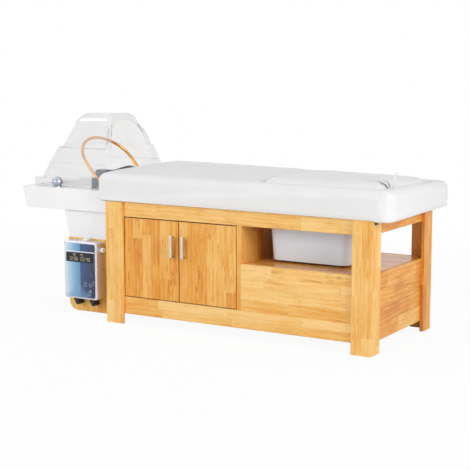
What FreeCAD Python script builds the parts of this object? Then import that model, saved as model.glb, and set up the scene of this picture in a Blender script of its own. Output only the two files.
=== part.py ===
# Wooden shampoo bed with a basin, a clear hood, a water arch and a foot bath
import FreeCAD, Part
import math
import os
import re
import Sketcher

Vector = FreeCAD.Vector
Rotation = FreeCAD.Rotation

# Nearness in millimetres, cosine of a straight edge, least volume of a cut
NEAR = 0.01
STRAIGHT = 0.999
LEAST_CUT = 1e-3

# Driving sizes in millimetres and degrees: name, value or formula, what it is
SIZES = [
    ("frame_length", "1460", "wooden frame, head face to foot face"),
    ("frame_width", "700", "wooden frame, front face to back face"),
    ("frame_height", "615", "floor to the top of the frame"),
    ("frame_center_x", "237.5", "middle of the frame along the bed"),
    ("board", "18", "thickness of the wooden boards"),
    ("leg_face_width", "100", "leg board on the long faces"),
    ("leg_end_width", "77", "leg board on the end faces"),
    ("rail_low", "50", "floor to the underside of the bottom rails"),
    ("bottom_rail_height", "88", "height of the bottom rails"),
    ("top_rail_height", "74", "height of the top rails"),
    ("shelf_height", "360", "floor to the top of the foot-bath shelf"),
    ("divider_offset", "754", "head face to the divider"),
    ("divider_thick", "23", "thickness of the divider"),
    ("edge_ease", "2", "rounding of the board edges"),
    ("door_gap", "3", "gap round the doors"),
    ("pivot_inset", "16", "hinge edge of a door to its pivot"),
    ("pivot_radius", "4", "pivot pin radius"),
    ("pivot_sink", "24", "pin length inside the door"),
    ("pivot_reach", "12", "depth of the pivot holes in the rails"),
    ("pivot_clearance", "0.05", "radial running clearance of the pivots"),
    ("pivot_end_gap", "0.5", "pin end to the bottom of its hole"),
    ("handle_length", "108", "length of a bar pull"),
    ("handle_spacing", "96", "distance between its posts"),
    ("handle_width", "15", "width of the bar"),
    ("handle_thick", "10", "thickness of the bar"),
    ("handle_standoff", "28", "door face to the outer face of the bar"),
    ("handle_post_radius", "5", "radius of its posts"),
    ("handle_inset", "31", "meeting edge of a door to its pull"),
    ("handle_drop", "126", "top of a door to the middle of its pull"),
    ("catch_width", "60", "width of the door catch"),
    ("catch_drop", "20", "catch below the top rail"),
    ("catch_rise", "30", "catch on the back of the top rail"),
    ("catch_depth", "16", "depth of the door catch"),
    ("catch_gap", "0.5", "closed door to the catch"),
    ("mattress_head_over", "50", "mattress past the head face"),
    ("mattress_foot_over", "90", "mattress past the foot face"),
    ("mattress_side_over", "10", "mattress past the long faces"),
    ("mattress_thick", "140", "mattress thickness at its edge"),
    ("mattress_crown", "12", "rise of its middle"),
    ("mattress_corner", "22", "rounding of its corners in plan"),
    ("mattress_round", "30", "rounding of its top edge"),
    ("lid_length", "644", "foot-bath lid along the bed"),
    ("lid_gap", "3", "gap between the lid and the mattress"),
    ("lid_border", "70", "mattress left between the lid and the foot end"),
    ("lid_side_border", "83", "mattress left beside the lid"),
    ("lid_corner", "38", "rounding of the lid corners in plan"),
    ("lid_round", "16", "rounding of the lid's top edge"),
    ("lid_board_thick", "12", "plywood under the lid pad"),
    ("lid_crown", "26", "rise of the lid's middle"),
    ("strap_width", "40", "pull strap width"),
    ("strap_thick", "3", "pull strap thickness"),
    ("strap_opening", "26", "clear width of the strap loop"),
    ("strap_height", "78", "height of the strap loop above the pad"),
    ("strap_sewn", "26", "strap length sewn into the pad"),
    ("strap_flat", "1", "half the flat left at the top of the loop"),
    ("strap_inset", "34", "lid foot edge to the middle of the loop"),
    ("strap_side", "87", "lid side to the middle of the strap"),
    ("bracket_width", "28", "mattress bracket width"),
    ("bracket_leg", "24", "mattress bracket leg"),
    ("bracket_thick", "3", "mattress bracket plate"),
    ("bracket_inset", "38", "long face of the frame to the middle of a bracket"),
    ("tub_offset", "1063", "head face to the middle of the tub"),
    ("tub_length", "418", "tub along the bed, at its rim"),
    ("tub_width", "410", "tub across the bed, at its rim"),
    ("tub_depth", "164", "height of the tub without its feet"),
    ("tub_draft", "9", "how far each tub wall leans in"),
    ("tub_wall", "4", "tub wall"),
    ("tub_lip", "8", "width of the tub's rim"),
    ("tub_corner", "40", "rounding of the tub corners"),
    ("tub_foot_height", "11", "height of the tub feet"),
    ("tub_foot_radius", "12", "radius of the tub feet"),
    ("tub_foot_inset", "55", "tub side to a foot"),
    ("well_margin", "12", "deck opening past the tub's rim"),
    ("basin_reach", "565", "head face to the head end of the basin"),
    ("basin_setback", "25", "long face of the frame to the basin's side"),
    ("rim_top", "660", "floor to the basin deck"),
    ("rim_height", "111", "height of the basin's outer face"),
    ("rim_draft", "16", "how far that face leans in"),
    ("basin_corner", "14", "rounding of the basin corners"),
    ("basin_wall", "6", "basin wall"),
    ("basin_deck", "8", "thickness of the basin deck"),
    ("relief_gap", "4", "basin to the mattress that overhangs it"),
    ("bowl_length", "310", "bowl along the bed"),
    ("bowl_width", "350", "bowl across the bed"),
    ("bowl_depth", "88", "depth of the bowl"),
    ("bowl_draft", "34", "how far the bowl walls lean in"),
    ("bowl_corner", "105", "rounding of the bowl corners"),
    ("bowl_offset", "190", "head face to the bed side of the bowl"),
    ("collar_setback", "63", "side of the basin to the raised collar"),
    ("collar_reach", "533", "head face to the head end of the collar"),
    ("collar_near", "58", "head face to the bed end of the collar"),
    ("collar_height", "46", "height of the collar"),
    ("collar_wall", "5", "collar wall"),
    ("collar_corner", "14", "rounding of the collar's outer corners"),
    ("collar_plate", "4", "thickness of the collar's top plate"),
    ("collar_seat", "12", "width of that plate under the hood's wall"),
    ("drain_radius", "21", "drain hole radius"),
    ("strainer_radius", "34", "strainer flange radius"),
    ("strainer_thick", "3", "strainer flange thickness"),
    ("tail_length", "60", "drain tail below the bowl"),
    ("pedestal_reach", "292", "head face to the foot of the pedestal"),
    ("pedestal_flare", "12", "how far its sides lean out"),
    ("pedestal_lean", "22", "how far its head end leans out"),
    ("pedestal_wall", "6", "pedestal wall"),
    ("pedestal_corner", "12", "rounding of its head corners"),
    ("pedestal_gap", "8", "head face to the pedestal"),
    ("cheek_low", "22", "floor to the cheek boards"),
    ("cheek_top", "405", "floor to the top of the cheek boards"),
    ("cheek_setback", "70", "long face of the frame to a cheek"),
    ("cheek_corner", "50", "rounding of the cheeks' lower corner"),
    ("neck_setback", "32", "pivot knuckle of the arch to the neck rest's side"),
    ("neck_length", "84", "neck rest along the bed"),
    ("neck_height", "92", "neck rest above the basin deck"),
    ("neck_lip", "22", "thickness of the tongue inside the bowl"),
    ("neck_lip_drop", "20", "depth of that tongue"),
    ("neck_lip_width", "130", "width of that tongue"),
    ("neck_lip_gap", "10", "tongue to the bowl's bed side"),
    ("neck_fall", "14", "fall of the neck rest towards the bed"),
    ("neck_dip", "16", "depth of the saddle"),
    ("neck_saddle_radius", "420", "radius of the saddle"),
    ("neck_round", "12", "rounding of the neck rest"),
    ("seat_gap", "0.3", "rest clearance of pieces that lift off"),
    ("arch_offset", "161", "head face to the arch's axis"),
    ("arch_axis_z", "701", "floor to the arch's axis"),
    ("arch_setback", "64", "side of the collar to the middle of an arch leg"),
    ("arch_leg", "100", "straight length at each foot"),
    ("arch_corner", "140", "bend radius of the shoulders"),
    ("arch_turn", "50", "turn of each shoulder in degrees"),
    ("arch_lean", "40", "lean of the arch towards the head end in degrees"),
    ("arch_tube_radius", "8", "tube radius"),
    ("knuckle_radius", "12", "pivot knuckle radius"),
    ("knuckle_length", "32", "pivot knuckle length"),
    ("arch_pin_radius", "5", "arch pivot pin radius"),
    ("arch_pin_length", "24", "arch pivot pin length"),
    ("arch_side_gap", "0.4", "knuckle to its socket"),
    ("arch_end_gap", "2", "pin end to the bottom of its hole in the knuckle"),
    ("socket_width", "18", "socket post width"),
    ("socket_length", "26", "socket post length"),
    ("socket_flat", "0.5", "half the flat left on top of a socket post"),
    ("socket_flange_radius", "18", "socket flange radius"),
    ("socket_flange_thick", "5", "socket flange thickness"),
    ("hood_setback", "2", "side and head end of the collar to the hood's foot"),
    ("hood_near_setback", "1", "bed end of the collar to the hood's foot"),
    ("hood_mid_lean", "15", "how far the hood's sides lean in, foot to bead"),
    ("hood_seam_lean", "31", "the same from bead to seam"),
    ("hood_mid_head_lean", "31", "how far its head end leans in, foot to bead"),
    ("hood_seam_head_lean", "40", "the same from bead to seam"),
    ("hood_mid_near_lean", "18", "how far its bed end leans in, foot to bead"),
    ("hood_seam_near_lean", "19", "the same from bead to seam"),
    ("hood_mid_rise", "79", "hood foot to its bead"),
    ("hood_seam_rise", "156", "hood foot to its seam"),
    ("hood_wall", "5", "hood wall"),
    ("hood_step", "2.5", "inward step at the bead"),
    ("hood_corner", "112", "plan rounding of the skirt"),
    ("hood_past", "110", "length of the cutting forms past the bed end"),
    ("hood_ledge", "25", "ledge that carries the dome"),
    ("hood_ledge_thick", "5", "thickness of that ledge"),
    ("dome_inset", "8", "skirt edge to the foot of the dome"),
    ("dome_rise", "173", "dome height above the seam"),
    ("dome_pitch", "30", "lean of the dome's walls in degrees"),
    ("dome_round", "100", "rounding of the dome's top edge"),
    ("dome_slant", "14.6", "lean of the dome's bed face in degrees"),
    ("dome_mouth_border", "51", "side of the dome's foot to its mouth"),
    ("dome_mouth_rise", "146", "height of the dome's mouth"),
    ("dome_mouth_side", "0.7", "side arc of the mouth as a share of its height"),
    ("dome_wall", "4", "dome wall"),
    ("tap_offset", "350", "head face to the tap"),
    ("tap_inset", "32", "side of the basin to the tap"),
    ("tap_base_radius", "22", "tap base radius"),
    ("tap_base_thick", "6", "tap base thickness"),
    ("tap_spindle_radius", "8", "tap spindle radius"),
    ("tap_spindle_length", "30", "tap spindle above its base"),
    ("tap_knob_radius", "28", "tap knob radius"),
    ("tap_knob_height", "48", "tap knob height"),
    ("tap_knob_bevel", "8", "bevel of the knob's top edge"),
    ("tap_knob_ease", "4.5", "second bevel that rounds it"),
    ("knob_end_gap", "0.5", "spindle or stem end to its knob"),
    ("heater_near", "63", "head face to the heater"),
    ("heater_width", "208", "heater along the bed"),
    ("heater_height", "296", "heater height"),
    ("heater_depth", "70", "heater depth"),
    ("heater_low", "100", "floor to the heater"),
    ("heater_corner", "14", "rounding of the heater"),
    ("heater_ease", "6", "rounding of the heater's front edge"),
    ("panel_margin", "3", "heater edge to its front panel"),
    ("panel_thick", "3", "front panel thickness"),
    ("display_width", "168", "display width"),
    ("display_height", "48", "display height"),
    ("display_drop", "54", "panel top to the display"),
    ("display_thick", "2", "display thickness"),
    ("band_height", "4", "trim band height"),
    ("band_drop", "50", "panel top to the trim band"),
    ("hanger_width", "32", "hanger width"),
    ("hanger_depth", "30", "hanger depth"),
    ("hanger_lip", "12", "depth of the hanger's top edge"),
    ("hanger_toe", "3.5", "height of the hanger's front edge"),
    ("valve_setback", "30", "heater back to the valve"),
    ("valve_drop", "40", "heater top to the valve"),
    ("valve_radius", "13", "valve knob radius"),
    ("valve_length", "22", "valve knob length"),
    ("valve_stem_radius", "5", "valve stem radius"),
    ("valve_stem_length", "16", "valve stem length"),
    ("valve_gap", "0.4", "valve knob to the heater"),
    ("hose_radius", "13", "hose radius"),
    ("hose_setback", "42", "cheek to the middle of the hoses"),
    ("hose_nut_radius", "19", "hose nut radius"),
    ("hose_nut_height", "14", "hose nut height"),
    ("hose_drop", "26", "straight length under the heater"),
    ("hose_first", "62", "heater head side to the first hose"),
    ("hose_second", "162", "heater head side to the second hose"),
]

# Positions that follow from the sizes above
DERIVED = [
    ("head_x", "=frame_center_x - frame_length / 2"),
    ("foot_x", "=frame_center_x + frame_length / 2"),
    ("front_y", "=0 - frame_width / 2"),
    ("skin_front", "=front_y + board"),
    ("inner_front", "=front_y + 2 * board"),
    ("inner_width", "=frame_width - 4 * board"),
    ("low_top", "=rail_low + bottom_rail_height"),
    ("rail_under", "=frame_height - top_rail_height"),
    ("divider_x", "=head_x + divider_offset"),
    ("bay_x", "=divider_x + divider_thick"),
    ("door_width", "=(divider_offset - leg_face_width - 3 * door_gap) / 2"),
    ("door_low", "=low_top + door_gap"),
    ("door_height", "=rail_under - low_top - 2 * door_gap"),
    ("left_door_x", "=head_x + leg_face_width + door_gap"),
    ("right_door_x", "=left_door_x + door_width + door_gap"),
    ("pivot_y", "=skin_front + board / 2"),
    ("mattress_x0", "=head_x - mattress_head_over"),
    ("mattress_x1", "=foot_x + mattress_foot_over"),
    ("mattress_half", "=frame_width / 2 + mattress_side_over"),
    ("lid_half", "=mattress_half - lid_side_border"),
    ("strap_offset", "=lid_half - strap_side"),
    ("lid_x1", "=mattress_x1 - lid_border - lid_gap"),
    ("lid_x0", "=lid_x1 - lid_length"),
    ("lid_pad_low", "=frame_height + seat_gap + lid_board_thick"),
    ("lid_top", "=frame_height + mattress_thick + mattress_crown - lid_round"),
    ("tub_x", "=head_x + tub_offset"),
    ("tub_low", "=shelf_height + tub_foot_height + seat_gap"),
    ("rim_low", "=rim_top - rim_height"),
    ("basin_x0", "=head_x - basin_reach"),
    ("basin_half", "=frame_width / 2 - basin_setback"),
    ("rim_lean", "=rim_draft / rim_height"),
    ("relief_z", "=frame_height - relief_gap"),
    ("relief_x", "=mattress_x0 - relief_gap"),
    ("bowl_x1", "=head_x - bowl_offset"),
    ("bowl_x0", "=bowl_x1 - bowl_length"),
    ("bowl_low", "=rim_top - bowl_depth"),
    ("bowl_mid_x", "=bowl_x1 - bowl_length / 2"),
    ("bowl_wall_low", "=basin_wall - bowl_draft"),
    ("bowl_corner_low", "=bowl_corner - bowl_draft + basin_wall"),
    ("collar_half", "=basin_half - collar_setback"),
    ("collar_top", "=rim_top + collar_height"),
    ("cheek_y", "=frame_width / 2 - cheek_setback"),
    ("cheek_height", "=cheek_top - cheek_low"),
    ("pedestal_top", "=bowl_low - basin_wall"),
    ("pedestal_x1", "=head_x - pedestal_gap"),
    ("arch_half", "=collar_half - arch_setback"),
    ("neck_half", "=arch_half - knuckle_length / 2 - neck_setback"),
    ("neck_x0", "=bowl_x1 - neck_lip - neck_lip_gap"),
    ("arch_x", "=head_x - arch_offset"),
    ("arch_crown", "=(arch_half - arch_corner + arch_corner * cos(arch_turn)) / cos(arch_turn)"),
    ("knuckle_out", "=arch_half + knuckle_length / 2"),
    ("socket_in", "=knuckle_out + arch_side_gap"),
    ("hood_low", "=collar_top + seat_gap"),
    ("hood_low_half", "=collar_half - hood_setback"),
    ("hood_mid_half", "=hood_low_half - hood_mid_lean"),
    ("hood_seam_half", "=hood_mid_half - hood_seam_lean"),
    ("hood_low_reach", "=collar_reach - hood_setback"),
    ("hood_mid_reach", "=hood_low_reach - hood_mid_head_lean"),
    ("hood_seam_reach", "=hood_mid_reach - hood_seam_head_lean"),
    ("hood_low_near", "=collar_near + hood_near_setback"),
    ("hood_mid_near", "=hood_low_near + hood_mid_near_lean"),
    ("hood_seam_near", "=hood_mid_near + hood_seam_near_lean"),
    ("seam_z", "=hood_low + hood_seam_rise"),
    ("dome_mouth_half", "=hood_seam_half - dome_inset - dome_mouth_border"),
    ("dome_straight", "=dome_rise - dome_round * (1 - sin(dome_pitch))"),
    ("dome_last_turn", "=dome_pitch + (90 - dome_pitch) * 3 / 4"),
    ("dome_bend", "=dome_round * (cos(dome_pitch) - cos(dome_last_turn))"),
    ("dome_corner", "=dome_inset + dome_straight * tan(dome_pitch) + dome_bend + 2 * edge_ease"),
    ("tap_x", "=head_x - tap_offset"),
    ("tap_y", "=tap_inset - basin_half"),
    ("heater_x1", "=head_x - heater_near"),
    ("heater_x0", "=heater_x1 - heater_width"),
    ("heater_y", "=0 - cheek_y - heater_depth"),
    ("heater_top", "=heater_low + heater_height"),
    ("panel_y", "=heater_y - panel_thick"),
    ("panel_top", "=heater_top - panel_margin"),
    ("hose_y", "=0 - cheek_y - hose_setback"),
]

os.makedirs("parts", exist_ok=True)
doc = FreeCAD.newDocument("shampoo_bed")
sheet = doc.addObject("Spreadsheet::Sheet", "Sizes")
ALIASES = set()
NODES = []


def fill_sheet():
    # Writes each size with its alias, then the positions that follow from them
    row = 0
    for name, value, note in SIZES:
        row += 1
        sheet.set("A%d" % row, note)
        sheet.set("B%d" % row, value)
        sheet.setAlias("B%d" % row, name)
        ALIASES.add(name)
    for name, value in DERIVED:
        row += 1
        sheet.set("A%d" % row, "follows from the sizes")
        sheet.set("B%d" % row, value)
        sheet.setAlias("B%d" % row, name)
        ALIASES.add(name)
    doc.recompute()


def bound(text):
    # Puts the sheet's name in front of each alias of an expression
    def named(match):
        word = match.group(0)
        return "Sizes." + word if word in ALIASES else word
    return re.sub(r"[a-z_][a-z_0-9]*", named, text)


def number(text):
    # Value of an expression of the sheet
    value = sheet.evalExpression(bound(text))
    return float(getattr(value, "Value", value))


def bind(item, prop, text):
    item.setExpression(prop, bound(text))


def place(item, x, y, z):
    # Ties an object's position to the sheet
    for axis, text in zip("xyz", (x, y, z)):
        bind(item, "Placement.Base." + axis, text)


def node(item, label):
    # Keeps an object as a named piece of the bed
    item.Label = label
    NODES.append(item)
    return item


def body(label, x="0", y="0", z="0"):
    item = doc.addObject("PartDesign::Body", "body_" + label)
    place(item, x, y, z)
    return item


def sketch_in(owner, role):
    # New sketch on one of a body's own planes
    item = owner.newObject("Sketcher::SketchObject", "sketch")
    plane = [f for f in owner.Origin.OriginFeatures if f.Role == role][0]
    item.AttachmentSupport = [(plane, "")]
    item.MapMode = "FlatFace"
    return item


def loose_sketch(z="0"):
    # New horizontal sketch at a height, for the sections of a loft
    item = doc.addObject("Sketcher::SketchObject", "section")
    bind(item, "Placement.Base.z", z)
    return item


def fix(sketch, geometry, point, x=None, y=None):
    # Ties a sketch point to the sheet, measured from the sketch origin
    for kind, text in (("DistanceX", x), ("DistanceY", y)):
        if text is not None:
            rule = Sketcher.Constraint(kind, -1, 1, geometry, point, number(text))
            index = sketch.addConstraint(rule)
            bind(sketch, "Constraints[%d]" % index, text)


def radius_of(sketch, geometry, text):
    index = sketch.addConstraint(Sketcher.Constraint("Radius", geometry, number(text)))
    bind(sketch, "Constraints[%d]" % index, text)


def line(a, b):
    return Part.LineSegment(Vector(a[0], a[1], 0), Vector(b[0], b[1], 0))


def arc(center, radius, start, end):
    circle = Part.Circle(Vector(center[0], center[1], 0), Vector(0, 0, 1), radius)
    return Part.ArcOfCircle(circle, math.radians(start), math.radians(end))


def polygon(sketch, points):
    # Closed outline with every corner tied to the sheet
    first = sketch.GeometryCount
    count = len(points)
    at = [(number(x), number(y)) for x, y in points]
    for i in range(count):
        sketch.addGeometry(line(at[i], at[(i + 1) % count]), False)
    for i in range(count):
        after = first + (i + 1) % count
        sketch.addConstraint(Sketcher.Constraint("Coincident", first + i, 2, after, 1))
    for i, (x, y) in enumerate(points):
        fix(sketch, first + i, 1, x, y)
    return sketch


def rectangle(sketch, x0, x1, y0, y1):
    return polygon(sketch, [(x0, y0), (x1, y0), (x1, y1), (x0, y1)])


def circle(sketch, x, y, radius):
    shape = Part.Circle(Vector(number(x), number(y), 0), Vector(0, 0, 1), number(radius))
    index = sketch.addGeometry(shape, False)
    fix(sketch, index, 3, x, y)
    radius_of(sketch, index, radius)
    return sketch


def rounded(sketch, x0, x1, y0, y1, radii):
    # Rectangle with its own radius at each corner: x1 y0, x1 y1, x0 y1, x0 y0
    a, b, c, d = number(x0), number(x1), number(y0), number(y1)
    r = [number(text) for text in radii]
    first = sketch.GeometryCount
    sketch.addGeometry([
        line((a + r[3], c), (b - r[0], c)),
        arc((b - r[0], c + r[0]), r[0], -90, 0),
        line((b, c + r[0]), (b, d - r[1])),
        arc((b - r[1], d - r[1]), r[1], 0, 90),
        line((b - r[1], d), (a + r[2], d)),
        arc((a + r[2], d - r[2]), r[2], 90, 180),
        line((a, d - r[2]), (a, c + r[3])),
        arc((a + r[3], c + r[3]), r[3], 180, 270),
    ], False)
    for i in range(8):
        after = first + (i + 1) % 8
        sketch.addConstraint(Sketcher.Constraint("Tangent", first + i, 2, after, 1))
    for i in (0, 4):
        sketch.addConstraint(Sketcher.Constraint("Horizontal", first + i))
    for i in (2, 6):
        sketch.addConstraint(Sketcher.Constraint("Vertical", first + i))
    for i, text in enumerate(radii):
        radius_of(sketch, first + 2 * i + 1, text)
    fix(sketch, first, 1, y=y0)
    fix(sketch, first + 2, 1, x=x1)
    fix(sketch, first + 4, 1, y=y1)
    fix(sketch, first + 6, 1, x=x0)
    return sketch


def bay(sketch, x0, x1, y0, y1, corner):
    # Outline with two rounded corners at x0 and two square corners at x1
    a, b, c, d, r = number(x0), number(x1), number(y0), number(y1), number(corner)
    sketch.addGeometry([
        line((a + r, c), (b, c)),
        line((b, c), (b, d)),
        line((b, d), (a + r, d)),
        arc((a + r, d - r), r, 90, 180),
        line((a, d - r), (a, c + r)),
        arc((a + r, c + r), r, 180, 270),
    ], False)
    for i in (0, 1):
        sketch.addConstraint(Sketcher.Constraint("Coincident", i, 2, i + 1, 1))
    for i in (2, 3, 4, 5):
        sketch.addConstraint(Sketcher.Constraint("Tangent", i, 2, (i + 1) % 6, 1))
    for i in (0, 2):
        sketch.addConstraint(Sketcher.Constraint("Horizontal", i))
    for i in (1, 4):
        sketch.addConstraint(Sketcher.Constraint("Vertical", i))
    for i in (3, 5):
        radius_of(sketch, i, corner)
    fix(sketch, 1, 1, x1, y0)
    fix(sketch, 1, 2, y=y1)
    fix(sketch, 4, 1, x=x0)
    return sketch


def ring(radius, sides):
    # Corner points of a regular polygon
    points = []
    for i in range(sides):
        angle = 360 * i / sides
        points.append(("(%s) * cos(%s)" % (radius, angle), "(%s) * sin(%s)" % (radius, angle)))
    return points


def prism(sides, radius, height, at, axis="z"):
    item = doc.addObject("Part::Prism", "prism")
    item.Polygon = sides
    bind(item, "Circumradius", radius)
    bind(item, "Height", height)
    item.Placement = FreeCAD.Placement(Vector(), TURN[axis])
    place(item, *at)
    return item


def pad(owner, sketch, length, backwards=False):
    item = owner.newObject("PartDesign::Pad", "pad")
    item.Profile = sketch
    bind(item, "Length", length)
    item.Reversed = backwards
    return item


def pocket(owner, sketch, depth, backwards=False):
    # Cuts a sketch into its body and makes sure that it took material away
    doc.recompute()
    before = owner.Shape.Volume
    item = owner.newObject("PartDesign::Pocket", "pocket")
    item.Profile = sketch
    bind(item, "Length", depth)
    item.Reversed = backwards
    doc.recompute()
    if owner.Shape.Volume > before - LEAST_CUT:
        raise RuntimeError("a pocket of %s cut nothing" % owner.Name)
    return item


def parallel(edge, axis):
    # True for a straight edge along x, y or z
    if not isinstance(edge.Curve, Part.Line):
        return False
    way = edge.Curve.Direction
    return abs(getattr(way, axis)) > STRAIGHT


def ease(owner, radius, choose):
    # Rounds the chosen edges of a body
    doc.recompute()
    base = owner.Tip
    names = ["Edge%d" % (i + 1) for i, e in enumerate(base.Shape.Edges) if choose(e)]
    item = owner.newObject("PartDesign::Fillet", "fillet")
    item.Base = (base, names)
    bind(item, "Radius", radius)
    return item


def bevel(owner, size, choose):
    # Chamfers the chosen edges of a body
    doc.recompute()
    base = owner.Tip
    names = ["Edge%d" % (i + 1) for i, e in enumerate(base.Shape.Edges) if choose(e)]
    item = owner.newObject("PartDesign::Chamfer", "chamfer")
    item.Base = (base, names)
    bind(item, "Size", size)
    return item


def board(label, size, at, grain):
    # Plank with its long edges eased; grain is the axis that it runs along
    item = body(label, *at)
    sx, sy, sz = size
    if grain == "x":
        pad(item, rectangle(sketch_in(item, "YZ_Plane"), "0", sy, "0", sz), sx)
    elif grain == "y":
        pad(item, rectangle(sketch_in(item, "XZ_Plane"), "0", sx, "0", sz), sy, True)
    else:
        pad(item, rectangle(sketch_in(item, "XY_Plane"), "0", sx, "0", sy), sz)
    bevel(item, "edge_ease", lambda e: parallel(e, grain))
    return node(item, label)


def box(size, at):
    item = doc.addObject("Part::Box", "box")
    for prop, text in zip(("Length", "Width", "Height"), size):
        bind(item, prop, text)
    place(item, *at)
    return item


TURN = {
    "z": Rotation(Vector(0, 0, 1), 0),
    "x": Rotation(Vector(0, 1, 0), 90),
    "y": Rotation(Vector(1, 0, 0), -90),
}


def cylinder(radius, height, at, axis="z"):
    item = doc.addObject("Part::Cylinder", "cylinder")
    bind(item, "Radius", radius)
    bind(item, "Height", height)
    item.Placement = FreeCAD.Placement(Vector(), TURN[axis])
    place(item, *at)
    return item


def cut(base, tool):
    item = doc.addObject("Part::Cut", "cut")
    item.Base = base
    item.Tool = tool
    return item


def fuse(*items):
    item = doc.addObject("Part::MultiFuse", "fuse")
    item.Shapes = list(items)
    return item


def group(*items):
    # Several like solids that count as one piece
    item = doc.addObject("Part::Compound", "group")
    item.Links = list(items)
    return item


def common(base, tool):
    item = doc.addObject("Part::Common", "common")
    item.Base = base
    item.Tool = tool
    return item


def loft(*sections):
    item = doc.addObject("Part::Loft", "loft")
    item.Sections = list(sections)
    item.Solid = True
    item.Ruled = True
    return item


def soften(base, radius, choose):
    # Rounds the chosen edges of a solid
    doc.recompute()
    value = number(radius)
    item = doc.addObject("Part::Fillet", "fillet")
    item.Base = base
    item.Edges = [(i + 1, value, value) for i, e in enumerate(base.Shape.Edges) if choose(e)]
    return item


def make_legs():
    # Four corner legs, each a face board and an end board that meet in an L
    for side, y in (("front", "front_y"), ("back", "0 - front_y - board")):
        for end, x in (("head", "head_x"), ("foot", "foot_x - leg_face_width")):
            size = ("leg_face_width", "board", "frame_height")
            board("leg_face_%s_%s" % (side, end), size, (x, y, "0"), "z")
    for end, x in (("head", "head_x"), ("foot", "foot_x - board")):
        for side, y in (("front", "skin_front"), ("back", "0 - skin_front - leg_end_width")):
            size = ("board", "leg_end_width", "frame_height")
            board("leg_end_%s_%s" % (end, side), size, (x, y, "0"), "z")


def pivot_holes(rail, z, backwards):
    # Blind holes for the pivots of both doors in a front rail
    drill = sketch_in(rail, "XY_Plane")
    bind(drill, "AttachmentOffset.Base.z", z)
    start = "head_x + board"
    left = "left_door_x + pivot_inset - (%s)" % start
    right = "right_door_x + door_width - pivot_inset - (%s)" % start
    for x in (left, right):
        circle(drill, x, "board / 2", "pivot_radius + pivot_clearance")
    pocket(rail, drill, "pivot_reach", backwards)


def make_carcass():
    # Rails, panels, shelves and the deck behind the leg boards
    length = "frame_length - 2 * board"
    x = "head_x + board"
    back = "0 - skin_front - board"
    top = (length, "board", "top_rail_height")
    low = (length, "board", "bottom_rail_height")
    rail_top = board("rail_top_front", top, (x, "skin_front", "rail_under"), "x")
    pivot_holes(rail_top, "0", True)
    rail_low = board("rail_bottom_front", low, (x, "skin_front", "rail_low"), "x")
    pivot_holes(rail_low, "bottom_rail_height", False)
    board("rail_top_back", top, (x, back, "rail_under"), "x")
    board("rail_bottom_back", low, (x, back, "rail_low"), "x")
    bay = "foot_x - board - bay_x"
    rise = "shelf_height - low_top"
    for side, y in (("front", "skin_front"), ("back", back)):
        board("panel_low_" + side, (bay, "board", rise), ("bay_x", y, "low_top"), "x")
    stile = ("leg_face_width - board", "board", "rail_under - low_top")
    board("stile_head_front", stile, (x, "skin_front", "low_top"), "z")
    closed = ("bay_x - head_x - board", "board", "rail_under - low_top")
    board("panel_back_cabinet", closed, (x, back, "low_top"), "x")
    head = ("board", "inner_width", "frame_height - rail_low")
    board("panel_head", head, (x, "inner_front", "rail_low"), "y")
    end = "foot_x - 2 * board"
    rail = ("board", "inner_width", "top_rail_height")
    board("rail_top_foot", rail, (end, "inner_front", "rail_under"), "y")
    foot = ("board", "inner_width", "shelf_height - rail_low")
    board("panel_foot", foot, (end, "inner_front", "rail_low"), "y")
    inside = "head_x + 2 * board"
    floor = ("bay_x - (%s)" % inside, "inner_width", "board")
    board("cabinet_floor", floor, (inside, "inner_front", "low_top - board"), "x")
    shelf = ("foot_x - 2 * board - bay_x", "inner_width", "board")
    board("shelf", shelf, ("bay_x", "inner_front", "shelf_height - board"), "x")


def make_divider():
    # Upright between cabinet and open bay; its front edge shows between the rails
    item = body("divider", "divider_x", "skin_front", "low_top")
    high = "frame_height - board - low_top"
    notch = "rail_under - low_top"
    deep = "frame_width - 3 * board"
    outline = [("0", "0"), (deep, "0"), (deep, high), ("board", high), ("board", notch), ("0", notch)]
    pad(item, polygon(sketch_in(item, "YZ_Plane"), outline), "divider_thick")
    node(item, "divider")


def make_deck():
    # Plywood deck between the rails, with the foot-bath well cut out
    inside = "head_x + 2 * board"
    item = body("deck", inside, "inner_front", "frame_height - board")
    length = "frame_length - 4 * board"
    pad(item, rectangle(sketch_in(item, "XY_Plane"), "0", length, "0", "inner_width"), "board")
    well = sketch_in(item, "XY_Plane")
    mid = "tub_x - (%s)" % inside
    half_x = "(tub_length / 2 + well_margin)"
    half_y = "(tub_width / 2 + well_margin)"
    rounded(well, "%s - %s" % (mid, half_x), "%s + %s" % (mid, half_x),
            "inner_width / 2 - " + half_y, "inner_width / 2 + " + half_y, ["tub_corner"] * 4)
    pocket(item, well, "board", True)
    node(item, "deck")


def make_door(side, x, hinge_left):
    # Inset door with pivot pins at its hinge edge and a bar pull at the other
    item = body("door_" + side, x, "skin_front", "door_low")
    pad(item, rectangle(sketch_in(item, "XY_Plane"), "0", "door_width", "0", "board"), "door_height")
    bevel(item, "edge_ease", lambda e: parallel(e, "z"))
    inset = "pivot_inset" if hinge_left else "door_width - pivot_inset"
    for z, backwards in (("0", True), ("door_height", False)):
        drill = sketch_in(item, "XY_Plane")
        bind(drill, "AttachmentOffset.Base.z", z)
        circle(drill, inset, "board / 2", "pivot_radius")
        pocket(item, drill, "pivot_sink", backwards)
    node(item, "door_" + side)
    pin_x = "%s + %s" % (x, inset)
    reach = "pivot_sink + door_gap + pivot_reach - pivot_end_gap"
    low = cylinder("pivot_radius", reach, (pin_x, "pivot_y", "low_top - pivot_reach + pivot_end_gap"))
    high = cylinder("pivot_radius", reach, (pin_x, "pivot_y", "door_low + door_height - pivot_sink"))
    node(group(low, high), "door_pins_" + side)
    pull_x = "%s + %s" % (x, "door_width - handle_inset" if hinge_left else "handle_inset")
    make_pull("handle_" + side, pull_x)


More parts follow.
